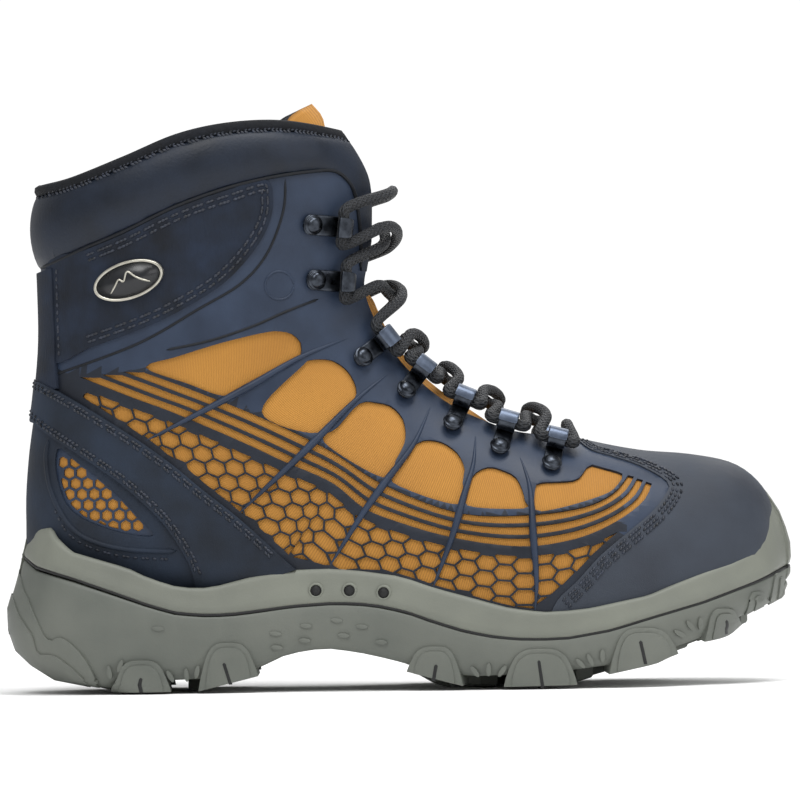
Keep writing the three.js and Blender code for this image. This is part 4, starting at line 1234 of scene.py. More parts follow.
collar_foot = smooth(COLLAR_LOW, 2.5)
strip_edge = throat_edge(np.linspace(15.0, 20.4, 16)) + (-0.4, -0.4)
collar_outer = np.concatenate([collar_foot, [(-13.5, 166.6)], strip_edge, smooth(COLLAR_TOP, 2.5)[::-1]])
collar_paper = flat(collar_outer)
collar_paper[[0, -1], 1] = 0.0
collar_outline = np.concatenate([collar_paper, over_heel(collar_paper[1:-1])[::-1]])
collar = panel(
    "collar_pad",
    collar_outline,
    COLLAR,
    "navy_synthetic",
    top=padding,
    thick=1.2,
    edge=0.5,
    step=2.4,
    stands_for=("collar_cover",),
)

braided_seam = bmesh.new()
top_seam = round_back(COLLAR_TOP)
stitches(braided_seam, top_seam, 0.9, lift=1.5, pitch=2.0, long=2.6, wide=1.3, slant=0.8)
stitches(braided_seam, top_seam, -0.5, lift=1.7, pitch=2.0, long=2.6, wide=1.3, slant=-0.8)
piece("braided_seam", braided_seam, THREAD, "navy_synthetic")
foot_seam = bmesh.new()
for side in (-1, 1):
    rib(foot_seam, trace(COLLAR_LOW, 1.5, side), 1.5, 0.9, 1.6, taper=0.02)
piece("collar_piping", foot_seam, BINDING, "navy_synthetic")

# %% [markdown]
# ## Lining
# A sock of black spacer mesh lines the boot. It rolls over the collar's top seam as a soft lip and
# goes down inside to the footbed. One grid makes it: round the boot in one direction, and over the
# lip in the other.

# %% Lining sock
LIP = [(0.0, 1.6), (1.6, 2.4), (3.4, 2.2), (4.4, 0.6), (4.4, -1.8), (3.2, -3.8), (0.6, -4.6), (-4.0, -4.8)]
TURN_FRONT = 0.455  # the turn of the lining's front edge
SOCK_ROWS = 40
SOCK_FOOT = 4.0  # the ring it goes down to


def ring_at_height(v, lift):
    """The ring where turn v meets the collar's top seam, raised by lift."""
    low, high = np.full(len(v), 14.0), np.full(len(v), 22.0)
    for _ in range(24):
        r = (low + high) / 2
        x, _, z = on_last(r, v).T
        above = z > np.interp(x, collar_top_line[:, 0], collar_top_line[:, 1]) + lift
        high = np.where(above, r, high)
        low = np.where(above, low, r)
    return (low + high) / 2


def sock(u, w):
    """The lining: the first rows follow the lip, and the rest go down inside."""
    v = (2 * u - 1) * TURN_FRONT
    rows = len(LIP)
    step = w * SOCK_ROWS
    lip = spline(np.array(LIP), np.clip(step, 0, rows - 1))
    r_lip = ring_at_height(v, lip[:, 0])
    inside = np.clip((step - rows + 1) / (SOCK_ROWS - rows + 1), 0, 1)
    r = r_lip + (SOCK_FOOT - r_lip) * inside
    return place(r, v, lip[:, 1])


lining = cast(140, SOCK_ROWS, sock, scale=(0.3, 0.3))
stands = ("lining_lateral", "lining_medial")
lining_sock = piece("lining_sock", lining, MESH, "mesh_lining", stands_for=stands)
wall = lining_sock.modifiers.new("thickness", "SOLIDIFY")
wall.thickness = 0.9 * TO_METRES
wall.offset = -1

# %% [markdown]
# ## Tongue
# The tongue is a padded strip from the toe cap to above the collar: ochre cloth outside, foam, and mesh
# against the foot, its edges folded in a dark binding. It hinges where it is sewn to the vamp.

# %% Tongue
TONGUE_LOW, TONGUE_TOP = 6.9, 21.55
TONGUE_PEAK = 0.4  # how many rings its corners lie below its middle
TONGUE_LEAN = 6.0  # how far its top leans back
TONGUE_RISE = 3.0  # how far the middle of its top stands up
TONGUE_SUNK, TONGUE_UP = 6.7, 5.7  # depth of its edges below the upper, and how far its middle comes back


def tongue_at(r, q, depth):
    """A point of the tongue: q runs across it from -1 to 1, and depth goes towards the foot.

    Where the throat is open, its middle rises between the lace loops.
    """
    reach = 0.105 + 0.012 * smoothstep(r, 8, 20)
    v = 0.5 + q * reach * (1 - 0.25 * smoothstep(r, 20.6, 21.6) * q * q)
    open_part = smoothstep(r, 7.2, 9) * (1 - smoothstep(r, 12.4, 14) + smoothstep(r, 20.4, 21.2))
    rise = smoothstep(1 - np.abs(q), 0.45, 0.95) * open_part
    peaked = r - TONGUE_PEAK * q * q * smoothstep(r, 19.6, 21.5)
    at = place(peaked, v, -TONGUE_SUNK + TONGUE_UP * rise - depth)
    at[:, 0] -= TONGUE_LEAN * smoothstep(r, 20.2, 21.6)
    at[:, 2] += TONGUE_RISE * smoothstep(r, 20.2, 21.6) * (1 - q * q)
    return at


def layer(outer_depth, inner_depth):
    """A closed strip between two depths, rounded at its edges."""
    middle, thick = (outer_depth + inner_depth) / 2, (inner_depth - outer_depth) / 2

    def skin(u, w):
        turn = 2 * np.pi * u
        q = np.cos(turn)
        q = np.sign(q) * np.abs(q) ** 0.55
        ends = np.clip(np.minimum(w, 1 - w) * 22, 0, 1) ** 0.5
        depth = middle - thick * np.sign(np.sin(turn)) * np.abs(np.sin(turn)) ** 0.5 * ends
        return tongue_at(TONGUE_LOW + (TONGUE_TOP - TONGUE_LOW) * (0.004 + 0.992 * w), q, depth)

    return cast(40, 90, skin, scale=(0.12, 0.24))


piece("tongue_cloth", layer(0.0, 1.6), OCHRE, "ochre_textile", "tongue", stands_for=("tongue_face",))
cushion = piece("tongue_pad", layer(1.2, 7.0), BINDING, "foam", "tongue", stands_for=("tongue_foam",))
piece("tongue_back", layer(6.6, 8.3), MESH, "mesh_lining", "tongue", stands_for=("tongue_lining",))
print("tongue: three layers")

# %% [markdown]
# ## Badge
# The ankle carries a small oval badge. It is left without a name: a pale rim, dark enamel and a plain
# peak.

# %% Badge
BADGE_LONG, BADGE_TALL, BADGE_TILT = 14.5, 7.6, 0.3
badge_r, badge_v = locate([(-105.2, 164.1)])
badge_at = place(badge_r, badge_v, 2.5)[0]
badge_out = outward(badge_r, badge_v)[0]
badge_along = np.array((math.cos(BADGE_TILT), 0, math.sin(BADGE_TILT)))
badge_along = unit((badge_along - badge_out * badge_along.dot(badge_out))[None])[0]
badge_up = np.cross(badge_out, badge_along)


def on_badge(x, y, lift):
    """A point of the badge: along it, up it, and away from the boot."""
    along, up, out = badge_along, badge_up, badge_out
    return badge_at + np.outer(x, along) + np.outer(y, up) + np.outer(lift, out)


def badge_ring(profile):
    """A closed oval turned from rows of (share of the size, height)."""
    rows = np.array(profile)

    def skin(u, w):
        k = np.round(w * (len(rows) - 1)).astype(int)
        turn = 2 * np.pi * u
        inset = (rows[k, 0] - 1) * BADGE_TALL
        across = np.where(rows[k, 0] > 0, BADGE_LONG + inset, 0)
        up = np.where(rows[k, 0] > 0, BADGE_TALL + inset, 0)
        return on_badge(across * np.cos(turn), up * np.sin(turn), rows[k, 1])

    return cast(72, len(rows) - 1, skin)


RIM_ROWS = [
    (0, -0.9), (1.0, -0.9), (1.0, 0.9), (0.97, 1.2), (0.91, 1.3), (0.86, 1.1), (0.84, 0.7), (0, 0.7),
]
ENAMEL_ROWS = [(0, 0.3), (0.85, 0.3), (0.85, 0.95), (0, 1.0)]
piece("badge_rim", badge_ring(RIM_ROWS), PALE_METAL, "badge_metal", stands_for=("badge",))
piece("badge_enamel", badge_ring(ENAMEL_ROWS), ENAMEL, "badge_metal")


def ridge(points, wide, tall):
    """A thin raised line on the badge."""
    line = smooth(points, 0.5)
    normal = np.stack([-np.gradient(line[:, 1]), np.gradient(line[:, 0])], 1)
    normal = normal / np.linalg.norm(normal, axis=1, keepdims=True)
    count = len(line) - 1

    def skin(u, w):
        k = np.round(w * count).astype(int)
        ends = np.clip(np.minimum(w, 1 - w) * 10, 0, 1) ** 0.5
        at = line[k] + normal[k] * (np.cos(2 * np.pi * u) * wide / 2 * ends)[:, None]
        return on_badge(at[:, 0], at[:, 1], 0.95 + np.sin(2 * np.pi * u) * tall * ends)

    return cast(8, count, skin)


PEAK = [
    (-8.6, -3.2), (-5.6, -0.4), (-3.6, 1.4), (-1.9, 0.2), (0.6, 3.4), (3.2, 0.6), (5.6, -1.4), (8.6, -3.2),
]
piece("badge_peak", ridge(PEAK, 0.8, 0.4), PALE_METAL, "badge_metal")

# %% [markdown]
# ## Lace hardware
# Two open hooks and five closed loops on each side, each bent from one strip of sheet steel and held
# by a domed rivet. A strip is a path in the plane of its seat: along the boot's skin, then round the
# lace.

# %% Seats
LOOPS = [
    (-14.9, 131, -7.6, 136.9), (2, 116.8, 7, 123.2), (20.9, 103, 24.4, 110), (39.7, 93.8, 42.1, 100.6),
    (60, 87, 61.5, 93.5),
]
HOOKS = [(-33.8, 185, -24, 184.2), (-32.8, 163, -23.2, 162.2)]
PLATE = 1.1  # thickness of the steel
BORE = 3.0  # radius of the way for the lace
STRIP = 7.0  # width of a loop
SEAT = 2.1  # the seats' height above the last
SQUARE = 0.35  # 1 is a round section, and less is squarer
WAIST_AT, WAIST_SPAN = 9.8, 3.4  # a hook's waist: how far from its tip, and how long


def seat(spot, side, rivet):
    """Frame of a fitting: under its rivet, towards the throat, outwards, and along its width."""
    r, v = locate([spot[:2], spot[2:]])
    v = v if side < 0 else 1 - v
    at, to = place(r, v, SEAT)
    out = unit(outward(r, v).sum(0, keepdims=True))[0]
    long = np.linalg.norm(to - at)
    toward = unit((to - at - out * (to - at).dot(out))[None])[0]
    packed = np.array([p.co for p in nodes[rivet].data.vertices]) / TO_METRES
    at = at + out * ((packed - at) @ out).min()
    width = np.cross(toward, out)
    middle = at + toward * long + out * (BORE + PLATE)
    return {"at": at, "a": toward, "n": out, "c": width, "long": long, "r": r[1], "v": v[1], "mid": middle}


def bent(path, held, width=STRIP, thick=PLATE, tail=3.4, nose=0.0, waist=0.0):
    """A strip of sheet bent along a path in its seat's plane, with a round tail and soft edges."""
    path = smooth(path, 0.35)
    count = len(path) - 1
    gone = np.concatenate([[0], np.cumsum(np.linalg.norm(np.diff(path, axis=0), axis=1))])
    along = np.gradient(path, axis=0)
    along = along / np.linalg.norm(along, axis=1, keepdims=True)
    reach = np.sqrt(1 - np.clip(1 - (gone + 0.2) / tail, 0, 1) ** 2)
    if nose:
        reach = reach * np.sqrt(1 - np.clip(1 - (gone[-1] - gone + 0.2) / nose, 0, 1) ** 2)
    reach = reach * (1 - waist * np.exp(-(((gone - gone[-1] + WAIST_AT) / WAIST_SPAN) ** 2)))

    def skin(u, w):
        row = np.round(w * (count + 2)).astype(int)
        k = np.clip(row - 1, 0, count)
        full = ((row > 0) & (row < count + 2)).astype(float)
        turn = 2 * np.pi * u
        across = np.sign(np.cos(turn)) * np.abs(np.cos(turn)) ** SQUARE * width / 2 * reach[k] * full
        rise = np.sign(np.sin(turn)) * np.abs(np.sin(turn)) ** SQUARE * thick / 2 * full
        flat_at = path[k] + np.stack([-along[k, 1], along[k, 0]], 1) * rise[:, None]
        return (
            held["at"]
            + np.outer(flat_at[:, 0], held["a"])
            + np.outer(flat_at[:, 1], held["n"])
            + np.outer(across, held["c"])
        )

    return cast(20, count + 2, skin)


def turned(profile, at, axis, sides=28):
    """A lathe piece: each row of the profile is a radius and a height along the axis."""
    rows = np.array(profile, float)
    axis = unit(np.array([axis], float))[0]
    first = unit(np.cross(axis, (0.3, 0.9, 0.1))[None])[0]
    second = np.cross(axis, first)

    def skin(u, w):
        k = np.round(w * (len(rows) - 1)).astype(int)
        turn = 2 * np.pi * u
        flat_at = np.outer(rows[k, 0] * np.cos(turn), first) + np.outer(rows[k, 0] * np.sin(turn), second)
        return at + flat_at + np.outer(rows[k, 1], axis)

    return cast(sides, len(rows) - 1, skin)


# %% [markdown]
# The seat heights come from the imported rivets, so each fitting stands exactly where its CAD node
# stands.

# %% Hooks, loops and rivets
LOOP_END = math.radians(212)
STRIP_TAIL = -4.2  # the strip reaches this far behind its rivet
DOME = [
    (0, 0.9), (3.7, 0.9), (4.05, 1.15), (4.05, 1.4), (3.75, 1.7), (3.3, 1.75), (3.2, 2.1), (2.8, 2.85),
    (1.9, 3.35), (0.9, 3.58), (0, 3.62),
]


def arc(long, start, end, count=14, radius=BORE + PLATE / 2):
    """Points round the lace's way, which lies long millimetres from the rivet."""
    turn = np.linspace(start, end, count)
    return [(long + radius * math.cos(t), BORE + PLATE + radius * math.sin(t)) for t in turn]


def loop_path(long):
    """Along the seat and nearly all the way round the lace."""
    return [(STRIP_TAIL, PLATE / 2), (long / 2, PLATE / 2), *arc(long, -math.pi / 2, LOOP_END)]


def hook_path(long):
    """Along the seat, half round the lace, and back over it."""
    tip = (long + STRIP_TAIL, 2 * (BORE + PLATE) - PLATE / 2 + 0.4)
    return [(STRIP_TAIL, PLATE / 2), (long / 2, PLATE / 2), *arc(long, -math.pi / 2, math.pi / 2), tip]


def fitting(kind, side, number, spot):
    """One hook or loop with its rivet; a loop also has a sleeve."""
    label = f"{'l' if side < 0 else 'm'}{number}"
    held = seat(spot, side, f"rivet_{kind}_{label}")
    if kind == "hook":
        strip = bent(hook_path(held["long"]), held, width=8.2, nose=0.6, waist=0.34)
    else:
        strip = bent(loop_path(held["long"]), held)
    piece(f"{kind}_{label}", strip, GUNMETAL, "hardware_metal", stands_for=(f"lace_{kind}_{label}",))
    if kind == "loop":
        sleeve_path = arc(held["long"], -0.9, 2.5, radius=BORE + PLATE + 0.3)
        sleeve = bent(sleeve_path, held, width=7.6, thick=0.55, tail=0.5, nose=0.5)
        piece(f"loop_sleeve_{label}", sleeve, SLEEVE, "hardware_metal")
    dome = turned(DOME, held["at"], held["n"])
    stands = (f"rivet_{kind}_{label}",)
    piece(f"{kind}_rivet_{label}", dome, GUNMETAL, "hardware_metal", stands_for=stands)
    return held


eyelets = {}
for side, tag in ((-1, "l"), (1, "m")):
    eyelets[tag] = [fitting("hook", side, number, spot) for number, spot in enumerate(HOOKS, 1)]
    eyelets[tag] += [fitting("loop", side, number, spot) for number, spot in enumerate(LOOPS, 1)]
print("first hook at:", np.round(eyelets["l"][0]["at"], 2).tolist())

# %% [markdown]
# ## Lace
# One lace runs from its hanging end up to the top hook, crosses down through every fitting to the
# bottom bar, and climbs back. The route passes through each roll of metal and over the tongue between
# them, one run lying above the other where they cross. Both ends hang down the inner side.

# %% Lace route
LACE_RADIUS = 2.2
LONG_END = [
    (-13, 44, 183), (-19, 49, 165), (-24, 50.5, 140), (-27, 51, 112), (-29, 51, 84), (-30, 51, 58),
]
SHORT_END = [
    (-33, 44, 193), (-41, 49.5, 174), (-44, 50.5, 142), (-45, 51, 114), (-46, 51, 88), (-46, 51, 64),
]
TOP_GAPS, TOP_LIFT = 2, 1.8  # above the ankle the lace stands further off the tongue


def through(held):
    """Four points down the middle of one fitting, from its low end to its high end."""
    up = held["c"] * (-1 if held["c"][2] < 0 else 1)
    return [held["mid"] + up * k for k in (-6.8, -3.2, 3.2, 6.8)]


def across(one, two, heights):
    """Three points over the tongue between two fittings."""
    share = np.array((0.3, 0.5, 0.7))
    r = one["r"] + (two["r"] - one["r"]) * share
    v = one["v"] + (two["v"] - one["v"]) * share
    return list(place(r, v, np.array(heights)))


def strand(tag, heights):
    """From the bottom fitting to the top one, changing sides at every gap."""
    points = []
    for i in range(6, -1, -1):
        points += through(eyelets[tag][i])
        other = "m" if tag == "l" else "l"
        if i > 0:
            shaft = TOP_LIFT if i <= TOP_GAPS else 0.0
            points += across(eyelets[tag][i], eyelets[other][i - 1], [h + shaft for h in heights])
            tag = other
    return points


outer_top, inner_top = eyelets["l"][0], eyelets["m"][0]
crossing = [p + (0, 0, 7) for p in across(outer_top, inner_top, [10, 8.6, 10])]
from_outer = [*crossing, inner_top["mid"] + (6, 8, 8), *map(np.array, LONG_END)]
from_inner = [inner_top["mid"] + (-3, 5, 10), *map(np.array, SHORT_END)]
bar = [p + (3.5, 0, -0.5) for p in across(eyelets["l"][6], eyelets["m"][6], [6, 5.4, 6])]
outer_strand = strand("l", [8, 8.8, 8])
inner_strand = strand("m", [5.2, 3.7, 5.2])
route = [*from_outer[::-1], *outer_strand[::-1], *bar, *inner_strand, *from_inner]


def through_points(points, per_gap=30):
    """A centripetal curve: it never overshoots between close points."""
    p = np.array(points, float)
    p = np.vstack([2 * p[0] - p[1], p, 2 * p[-1] - p[-2]])
    runs = []
    for a, b, c, d in zip(p, p[1:], p[2:], p[3:]):
        before, here, after = (np.linalg.norm(two - one) ** 0.5 for one, two in ((a, b), (b, c), (c, d)))
        leave = ((b - a) / before - (c - a) / (before + here) + (c - b) / here) * here
        arrive = ((c - b) / here - (d - b) / (here + after) + (d - c) / after) * here
        t = np.linspace(0, 1, per_gap, endpoint=False)[:, None]
        bend = 3 * (c - b) - 2 * leave - arrive
        twist = 2 * (b - c) + leave + arrive
        runs.append(b + t * leave + t**2 * bend + t**3 * twist)
    return np.concatenate([*runs, p[-2:-1]])


lace_line = through_points(route)
gone = np.concatenate([[0], np.cumsum(np.linalg.norm(np.diff(lace_line, axis=0), axis=1))])
LACE_LONG = gone[-1]
LACE_POINTS = 1660
steps = np.linspace(0, LACE_LONG, LACE_POINTS)
lace_line = np.stack([np.interp(steps, gone, lace_line[:, k]) for k in range(3)], 1)
print("lace:", round(LACE_LONG, 1), "mm")

# %% [markdown]
# The cord is a tube along that line. Its section is carried along without twist, and sixteen carriers
# of the braid press slightly into its skin.

# %% Lace
lace_along = unit(np.gradient(lace_line, axis=0))
lace_side = np.zeros_like(lace_along)
lace_side[0] = unit(np.cross(lace_along[0], (0, 1, 0.2))[None])[0]
for k in range(1, len(lace_side)):
    carried = lace_side[k - 1] - lace_along[k] * lace_side[k - 1].dot(lace_along[k])
    lace_side[k] = carried / np.linalg.norm(carried)
lace_up = np.cross(lace_along, lace_side)


def cord_skin(u, w):
    """The cord's skin, closed at both ends."""
    k = np.round(w * (len(lace_line) - 1)).astype(int)
    turn = 2 * np.pi * u
    braid_press = 0.05 * np.abs(np.sin(4 * turn)) - 0.02
    radius = np.where((k == 0) | (k == len(lace_line) - 1), 0, LACE_RADIUS * (1 + braid_press))
    section = lace_side[k] * np.cos(turn)[:, None] + lace_up[k] * np.sin(turn)[:, None]
    return lace_line[k] + section * radius[:, None]


cord = cast(24, len(lace_line) - 1, cord_skin, scale=(1.0, LACE_LONG * TO_METRES))
lace = piece("boot_lace", cord, BRAID, "lace_cord", stands_for=("lace",))

# %% [markdown]
# A short plastic tip is crimped on each end, with two shallow grooves.

# %% Aglets
TIP_ROWS = [
    (0, 1.3), (1.6, 1.3), (2.2, 0.9), (2.75, -0.2), (2.85, -2), (2.6, -2.6), (2.85, -3.2), (2.85, -11),
    (2.6, -11.6), (2.85, -12.2), (2.8, -13), (2.3, -13.1), (2.2, -0.5), (0, -0.5),
]
for name, k, way in (("a", 0, -1), ("b", -1, 1)):
    tip = turned(TIP_ROWS, lace_line[k], lace_along[k] * way)
    piece(f"lace_tip_{name}", tip, TIP, "aglet_plastic", stands_for=(f"aglet_{name}",))

# %% [markdown]
# ## Sole
# The sole is two mouldings stacked: a cup-shaped midsole and a lugged outsole. A black tube between them is
# painted shade in the groove. Seen from above both follow one outline, a heel and a ball joined by a waist.
# A place on the side wall is a turn u, once round from the back of the heel, and a height z.

# %% Sole outline
OUTLINE = np.array([
    (-157, 0, 0), (-155, 14, 14), (-150, 26, 26), (-140, 36.5, 36), (-120, 42.6, 42),
    (-90, 43.5, 42.6), (-60, 44, 42.8), (-30, 46, 43.6), (0, 50, 47), (30, 55.4, 52.5),
    (55, 56.5, 55.6), (75, 56, 56.5), (93, 53.4, 56), (110, 48.5, 54), (130, 39.3, 48),
    (142, 30, 40.5), (150, 18, 30.5), (155, 2, 19), (157, -8, 8),
])
DRAWN_IN = np.array([(-1, 1.2), (14, 0.2), (30, 0), (44, 1.4), (56, 2.6), (82, 2.6)])
HEEL_END = np.array([
    (0, -116), (2, -122), (5.2, -138.5), (11, -147.5), (17, -153.5), (25, -156.2), (34, -156.5),
    (47, -152.6), (55, -151.2), (66.5, -148), (90, -146),
])
TOE_END = np.array([
    (0, 118), (21.5, 134), (33, 152), (43, 156.2), (54, 156.5), (66, 153.8), (76.8, 147), (90, 146),
])
GROOVE = np.array([
    (-170, 61), (-151, 55), (-145, 50.5), (-129.7, 46), (-114.5, 40.6), (-99, 34.9), (-89, 32),
    (-79, 31), (-68.5, 31), (-58.5, 32), (-43, 33.9), (-28, 34.8), (-17.5, 34.6), (-7.5, 33.3),
    (2.2, 31), (13, 27), (23.6, 23.6), (34.2, 21.2), (45, 19.9), (55.6, 19.6), (66.4, 20),
    (82.5, 22.7), (98.7, 27.3), (120, 33), (141.7, 40.5), (153.6, 45), (175, 52),
])
BASE = np.array([
    (-157, 18), (-153.5, 16.5), (-147.5, 11), (-138.5, 5.2), (-122, 2), (-117, 2), (-114, 5.2),
    (-90, 5.5), (-70, 6), (-58, 9), (-48, 14), (-38, 16.5), (-29, 17), (-18, 15.5), (-5, 12.5),
    (5, 9.5), (15, 6.5), (30, 5.5), (60, 6.5), (85, 9.5), (105, 14), (125, 20), (140, 28), (150, 34),
    (157, 42),
])
CUP_TOP = np.array([
    *[p for p in RIM if p[0] < 121],
    (121, 44.6), (132, 48), (142, 53), (149, 63), (153, 72), (155.5, 76), (157, 77.5),
])
STRAIGHT = 100  # the outline's ends, which lean, begin this far from the middle
ENDS = 57  # and are this long as drawn
CUP_FLOOR = RINGS[::-1][:, 0:2][9:]
CUP_FLOOR = CUP_FLOOR[np.argsort(CUP_FLOOR[:, 0])]


def height_of(line, x):
    """Height of a side-view line at x."""
    return np.interp(x, line[:, 0], line[:, 1])


def fit_ends(x, z):
    """Moves the ends of the outline to where they lie at height z."""
    heel = np.interp(z, HEEL_END[:, 0], HEEL_END[:, 1])
    toe = np.interp(z, TOE_END[:, 0], TOE_END[:, 1])
    x = np.where(x < -STRAIGHT, -STRAIGHT + (x + STRAIGHT) * (-STRAIGHT - heel) / ENDS, x)
    return np.where(x > STRAIGHT, STRAIGHT + (x - STRAIGHT) * (toe - STRAIGHT) / ENDS, x)


def turn_at(x, z):
    """The turn, on the outer side, of a point seen at (x, z)."""
    heel = np.interp(z, HEEL_END[:, 0], HEEL_END[:, 1])
    toe = np.interp(z, TOE_END[:, 0], TOE_END[:, 1])
    x = np.where(x < -STRAIGHT, -STRAIGHT + (x + STRAIGHT) * ENDS / (-STRAIGHT - heel), x)
    x = np.where(x > STRAIGHT, STRAIGHT + (x - STRAIGHT) * ENDS / (toe - STRAIGHT), x)
    share = np.interp(x, OUTLINE[:, 0], np.linspace(0, 1, len(OUTLINE)))
    return np.arccos(1 - 2 * share) / (2 * np.pi)


def plan_at(u):
    """The outline from above at turn u."""
    row = spline(OUTLINE, (1 - np.cos(2 * np.pi * u)) / 2 * (len(OUTLINE) - 1))
    return row[:, 0], np.where(u - np.floor(u) < 0.5, -row[:, 1], row[:, 2])


def wall_at(u, z):
    """The side wall itself at turn u and height z."""
    x, y = plan_at(u)
    shrink = np.interp(z, DRAWN_IN[:, 0], DRAWN_IN[:, 1])
    return np.stack([fit_ends(x, z), np.sign(y) * np.maximum(np.abs(y) - shrink, 0), z], 1)


def on_wall(u, z, proud=0.0):
    """A point of the side wall, moved out by proud millimetres."""
    u, z = np.asarray(u, float), np.asarray(z, float)
    at = wall_at(u, z)
    along = wall_at(u + 0.006, z) - wall_at(u - 0.006, z)
    out = unit(np.stack([along[:, 1], -along[:, 0], np.zeros(len(u))], 1))
    inward = np.sum(out * at * (0.3, 1, 0), 1) < 0
    out[inward] *= -1
    return at + out * np.broadcast_to(proud, u.shape)[:, None]


LEVEL_ROUNDS = 12


def level(u, line, rounds=LEVEL_ROUNDS):
    """Height of a side-view line at turn u. The line and the leaning ends of the sole fix each other."""
    x = plan_at(u)[0]
    z = height_of(line, x)
    for _ in range(rounds):
        z = (z + height_of(line, fit_ends(x, z))) / 2
    return z


# %% [markdown]
# Each moulding is one closed skin: out from the middle, down or up its wall, and back in to the
# middle. A row is a share of the way between two heights, and how far it stands in from the wall.

# %% Outsole and midsole bodies
def moulding(rows, low_line, high_line, inner_low=None):
    """Turns rows of (share of the height, inset, 1 at the wall or 0 on the middle line) round the sole.

    A share of 2 is the inner floor.
    """
    rows = np.array(rows, float)

    def skin(u, w):
        k = np.round(w * (len(rows) - 1)).astype(int)
        low = level(u, low_line)
        high = level(u, high_line, LEVEL_ROUNDS if inner_low is None else 0)
        z = low + (high - low) * rows[k, 0]
        if inner_low is not None:
            z = np.where(rows[k, 0] > 1.5, level(u, inner_low) - 0.6, z)
        at = on_wall(u, z, -rows[k, 1])
        at[:, 1] *= rows[k, 2]
        return at

    return cast(260, len(rows) - 1, skin)


OUT_ROWS = [
    (0.96, 9, 0), (0.96, 3, 1), (0.975, 1.0, 1), (0.965, 0.25, 1), (0.93, 0, 1), (0.8, 0, 1),
    (0.65, 0, 1), (0.5, 0.1, 1), (0.35, 0.3, 1), (0.2, 0.6, 1), (0.1, 1.0, 1), (0.03, 1.8, 1),
    (0, 3, 1), (0, 7, 1), (0, 9, 0),
]
piece("sole_outsole", moulding(OUT_ROWS, BASE, GROOVE), RUBBER, "outsole_rubber", stands_for=("outsole",))
CUP_ROWS = [
    (0.02, 9, 0), (0.02, 3, 1), (0.02, 1.0, 1), (0.05, 0.3, 1), (0.12, -0.15, 1), (0.3, -0.1, 1),
    (0.5, 0.2, 1), (0.7, 0.4, 1), (0.85, 0.35, 1), (0.93, 0.5, 1), (0.985, 0.95, 1), (1.01, 1.6, 1),
    (1.02, 2.4, 1), (1.0, 3.4, 1), (0.9, 4.6, 1), (0.7, 6.0, 1), (2, 6.5, 1), (2, 6.5, 0),
]
cup = moulding(CUP_ROWS, GROOVE, CUP_TOP, CUP_FLOOR)
piece("sole_midsole", cup, MIDSOLE, "midsole_rubber", stands_for=("midsole",))


BEAD_SUNK, BEAD_DEEP, BEAD_TALL = 0.55, 0.45, 0.62


def groove_skin(u, w):
    """Painted shade for the groove between the two mouldings: a black flattened tube, half sunk in the
    wall.
    """
    turn = 2 * np.pi * u
    at = on_wall(w, level(w, GROOVE) + 0.1, -BEAD_SUNK + BEAD_DEEP * np.cos(turn))
    return at + np.stack([0 * u, 0 * u, BEAD_TALL * np.sin(turn)], 1)


piece("sole_groove", cast(8, 360, groove_skin), BLACK_PAINTED_SHADE, "outsole_rubber")

# %% [markdown]
# ## Lugs
# Each side lug is an arch that widens at its foot, with a smaller raised face and a slit, drawn as a black
# block of painted shade. Drawn on the unrolled wall, every one is an outline with a thickness, like the
# panels of the upper.

# %% Moulded relief
WALL_ROUND = 700.0


def relief(name, outlines, side, proud, thick, material=RUBBER, edge=0.5, step=3.0):
    """Blocks standing on the side wall, from outlines in side view."""
    bm = bmesh.new()
    for outline in outlines:
        x, z = np.array(outline, float).T
        join(bm, fill(np.stack([turn_at(x, z) * WALL_ROUND, z], 1), (), step))
    sheet_at = np.array([p.co[:2] for p in bm.verts])
    u = sheet_at[:, 0] / WALL_ROUND
    u = u if side < 0 else 1 - u
    where = on_wall(u, sheet_at[:, 1], proud)
    out = on_wall(u, sheet_at[:, 1], proud + 1) - where
    for p, at in zip(bm.verts, where):
        p.co = at
    bm.normal_update()
    bm.verts.index_update()
    inward = [f for f in bm.faces if f.normal.dot(Vector(out[f.verts[0].index])) < 0]
    bmesh.ops.reverse_faces(bm, faces=inward)
    made = piece(name, bm, material, "outsole_rubber")
    thicken(made, thick, edge)


def arch(x0, x1, foot0, foot1, top, inset=0.0, flare=1.6):
    """A lug in side view: a rounded arch on a foot line from (x0, foot0) to (x1, foot1)."""
    middle, half = (x0 + x1) / 2, (x1 - x0) / 2
    turn = np.linspace(np.pi, 0, 25)
    c, s = np.cos(turn), np.sin(turn)
    spread = flare * np.clip(1 - s * 1.6, 0, 1) ** 1.5
    x = middle + np.sign(c) * (np.abs(c) ** 0.62 * (half - inset) + spread * np.abs(c))
    foot = foot0 + (foot1 - foot0) * (x - x0) / (x1 - x0)
    return np.stack([x, foot + (top - inset - foot) * s**0.9], 1)


LUGS = [
    (-112.5, -93, 0.9, 0.9, 13.5), (-79, -58.5, 1.3, 6.2, 20), (3.5, 22, 7.2, 2.2, 17.5),
    (41, 67, 1.2, 1.5, 16), (83, 107, 5.9, 12.4, 23.5), (120.5, 133.5, 17.6, 21.6, 30),
    (137.5, 144.6, 27.6, 31, 36.5), (147.6, 153.6, 31.5, 35.5, 43.5),
]
SLITS = [
    (-102.8, 0.9, -102.8, 6.8), (-67.8, 3.5, -70.2, 12.2), (12.3, 3.8, 13.4, 10.5),
    (55.2, 0.6, 53.8, 11.6), (95.6, 9.2, 93.8, 18.6), (127.6, 19.6, 127.4, 25.6),
]
LEAVES = [
    (-115.5, 9, 0.2), (-110.8, 11.4, -0.4), (-91.6, 7, 0.5), (-85.2, 7.4, 0.1), (-81, 8.6, -0.2),
    (28.6, 7.3, 0.7), (33.8, 8, 0.0), (38.9, 7.4, -0.6), (70, 9.9, 0.8), (74, 11.3, 0.45),
    (78.8, 12.8, 0), (109.6, 20.6, 1.0), (113.8, 23.6, 0.6), (117.6, 24.4, 0.0),
]
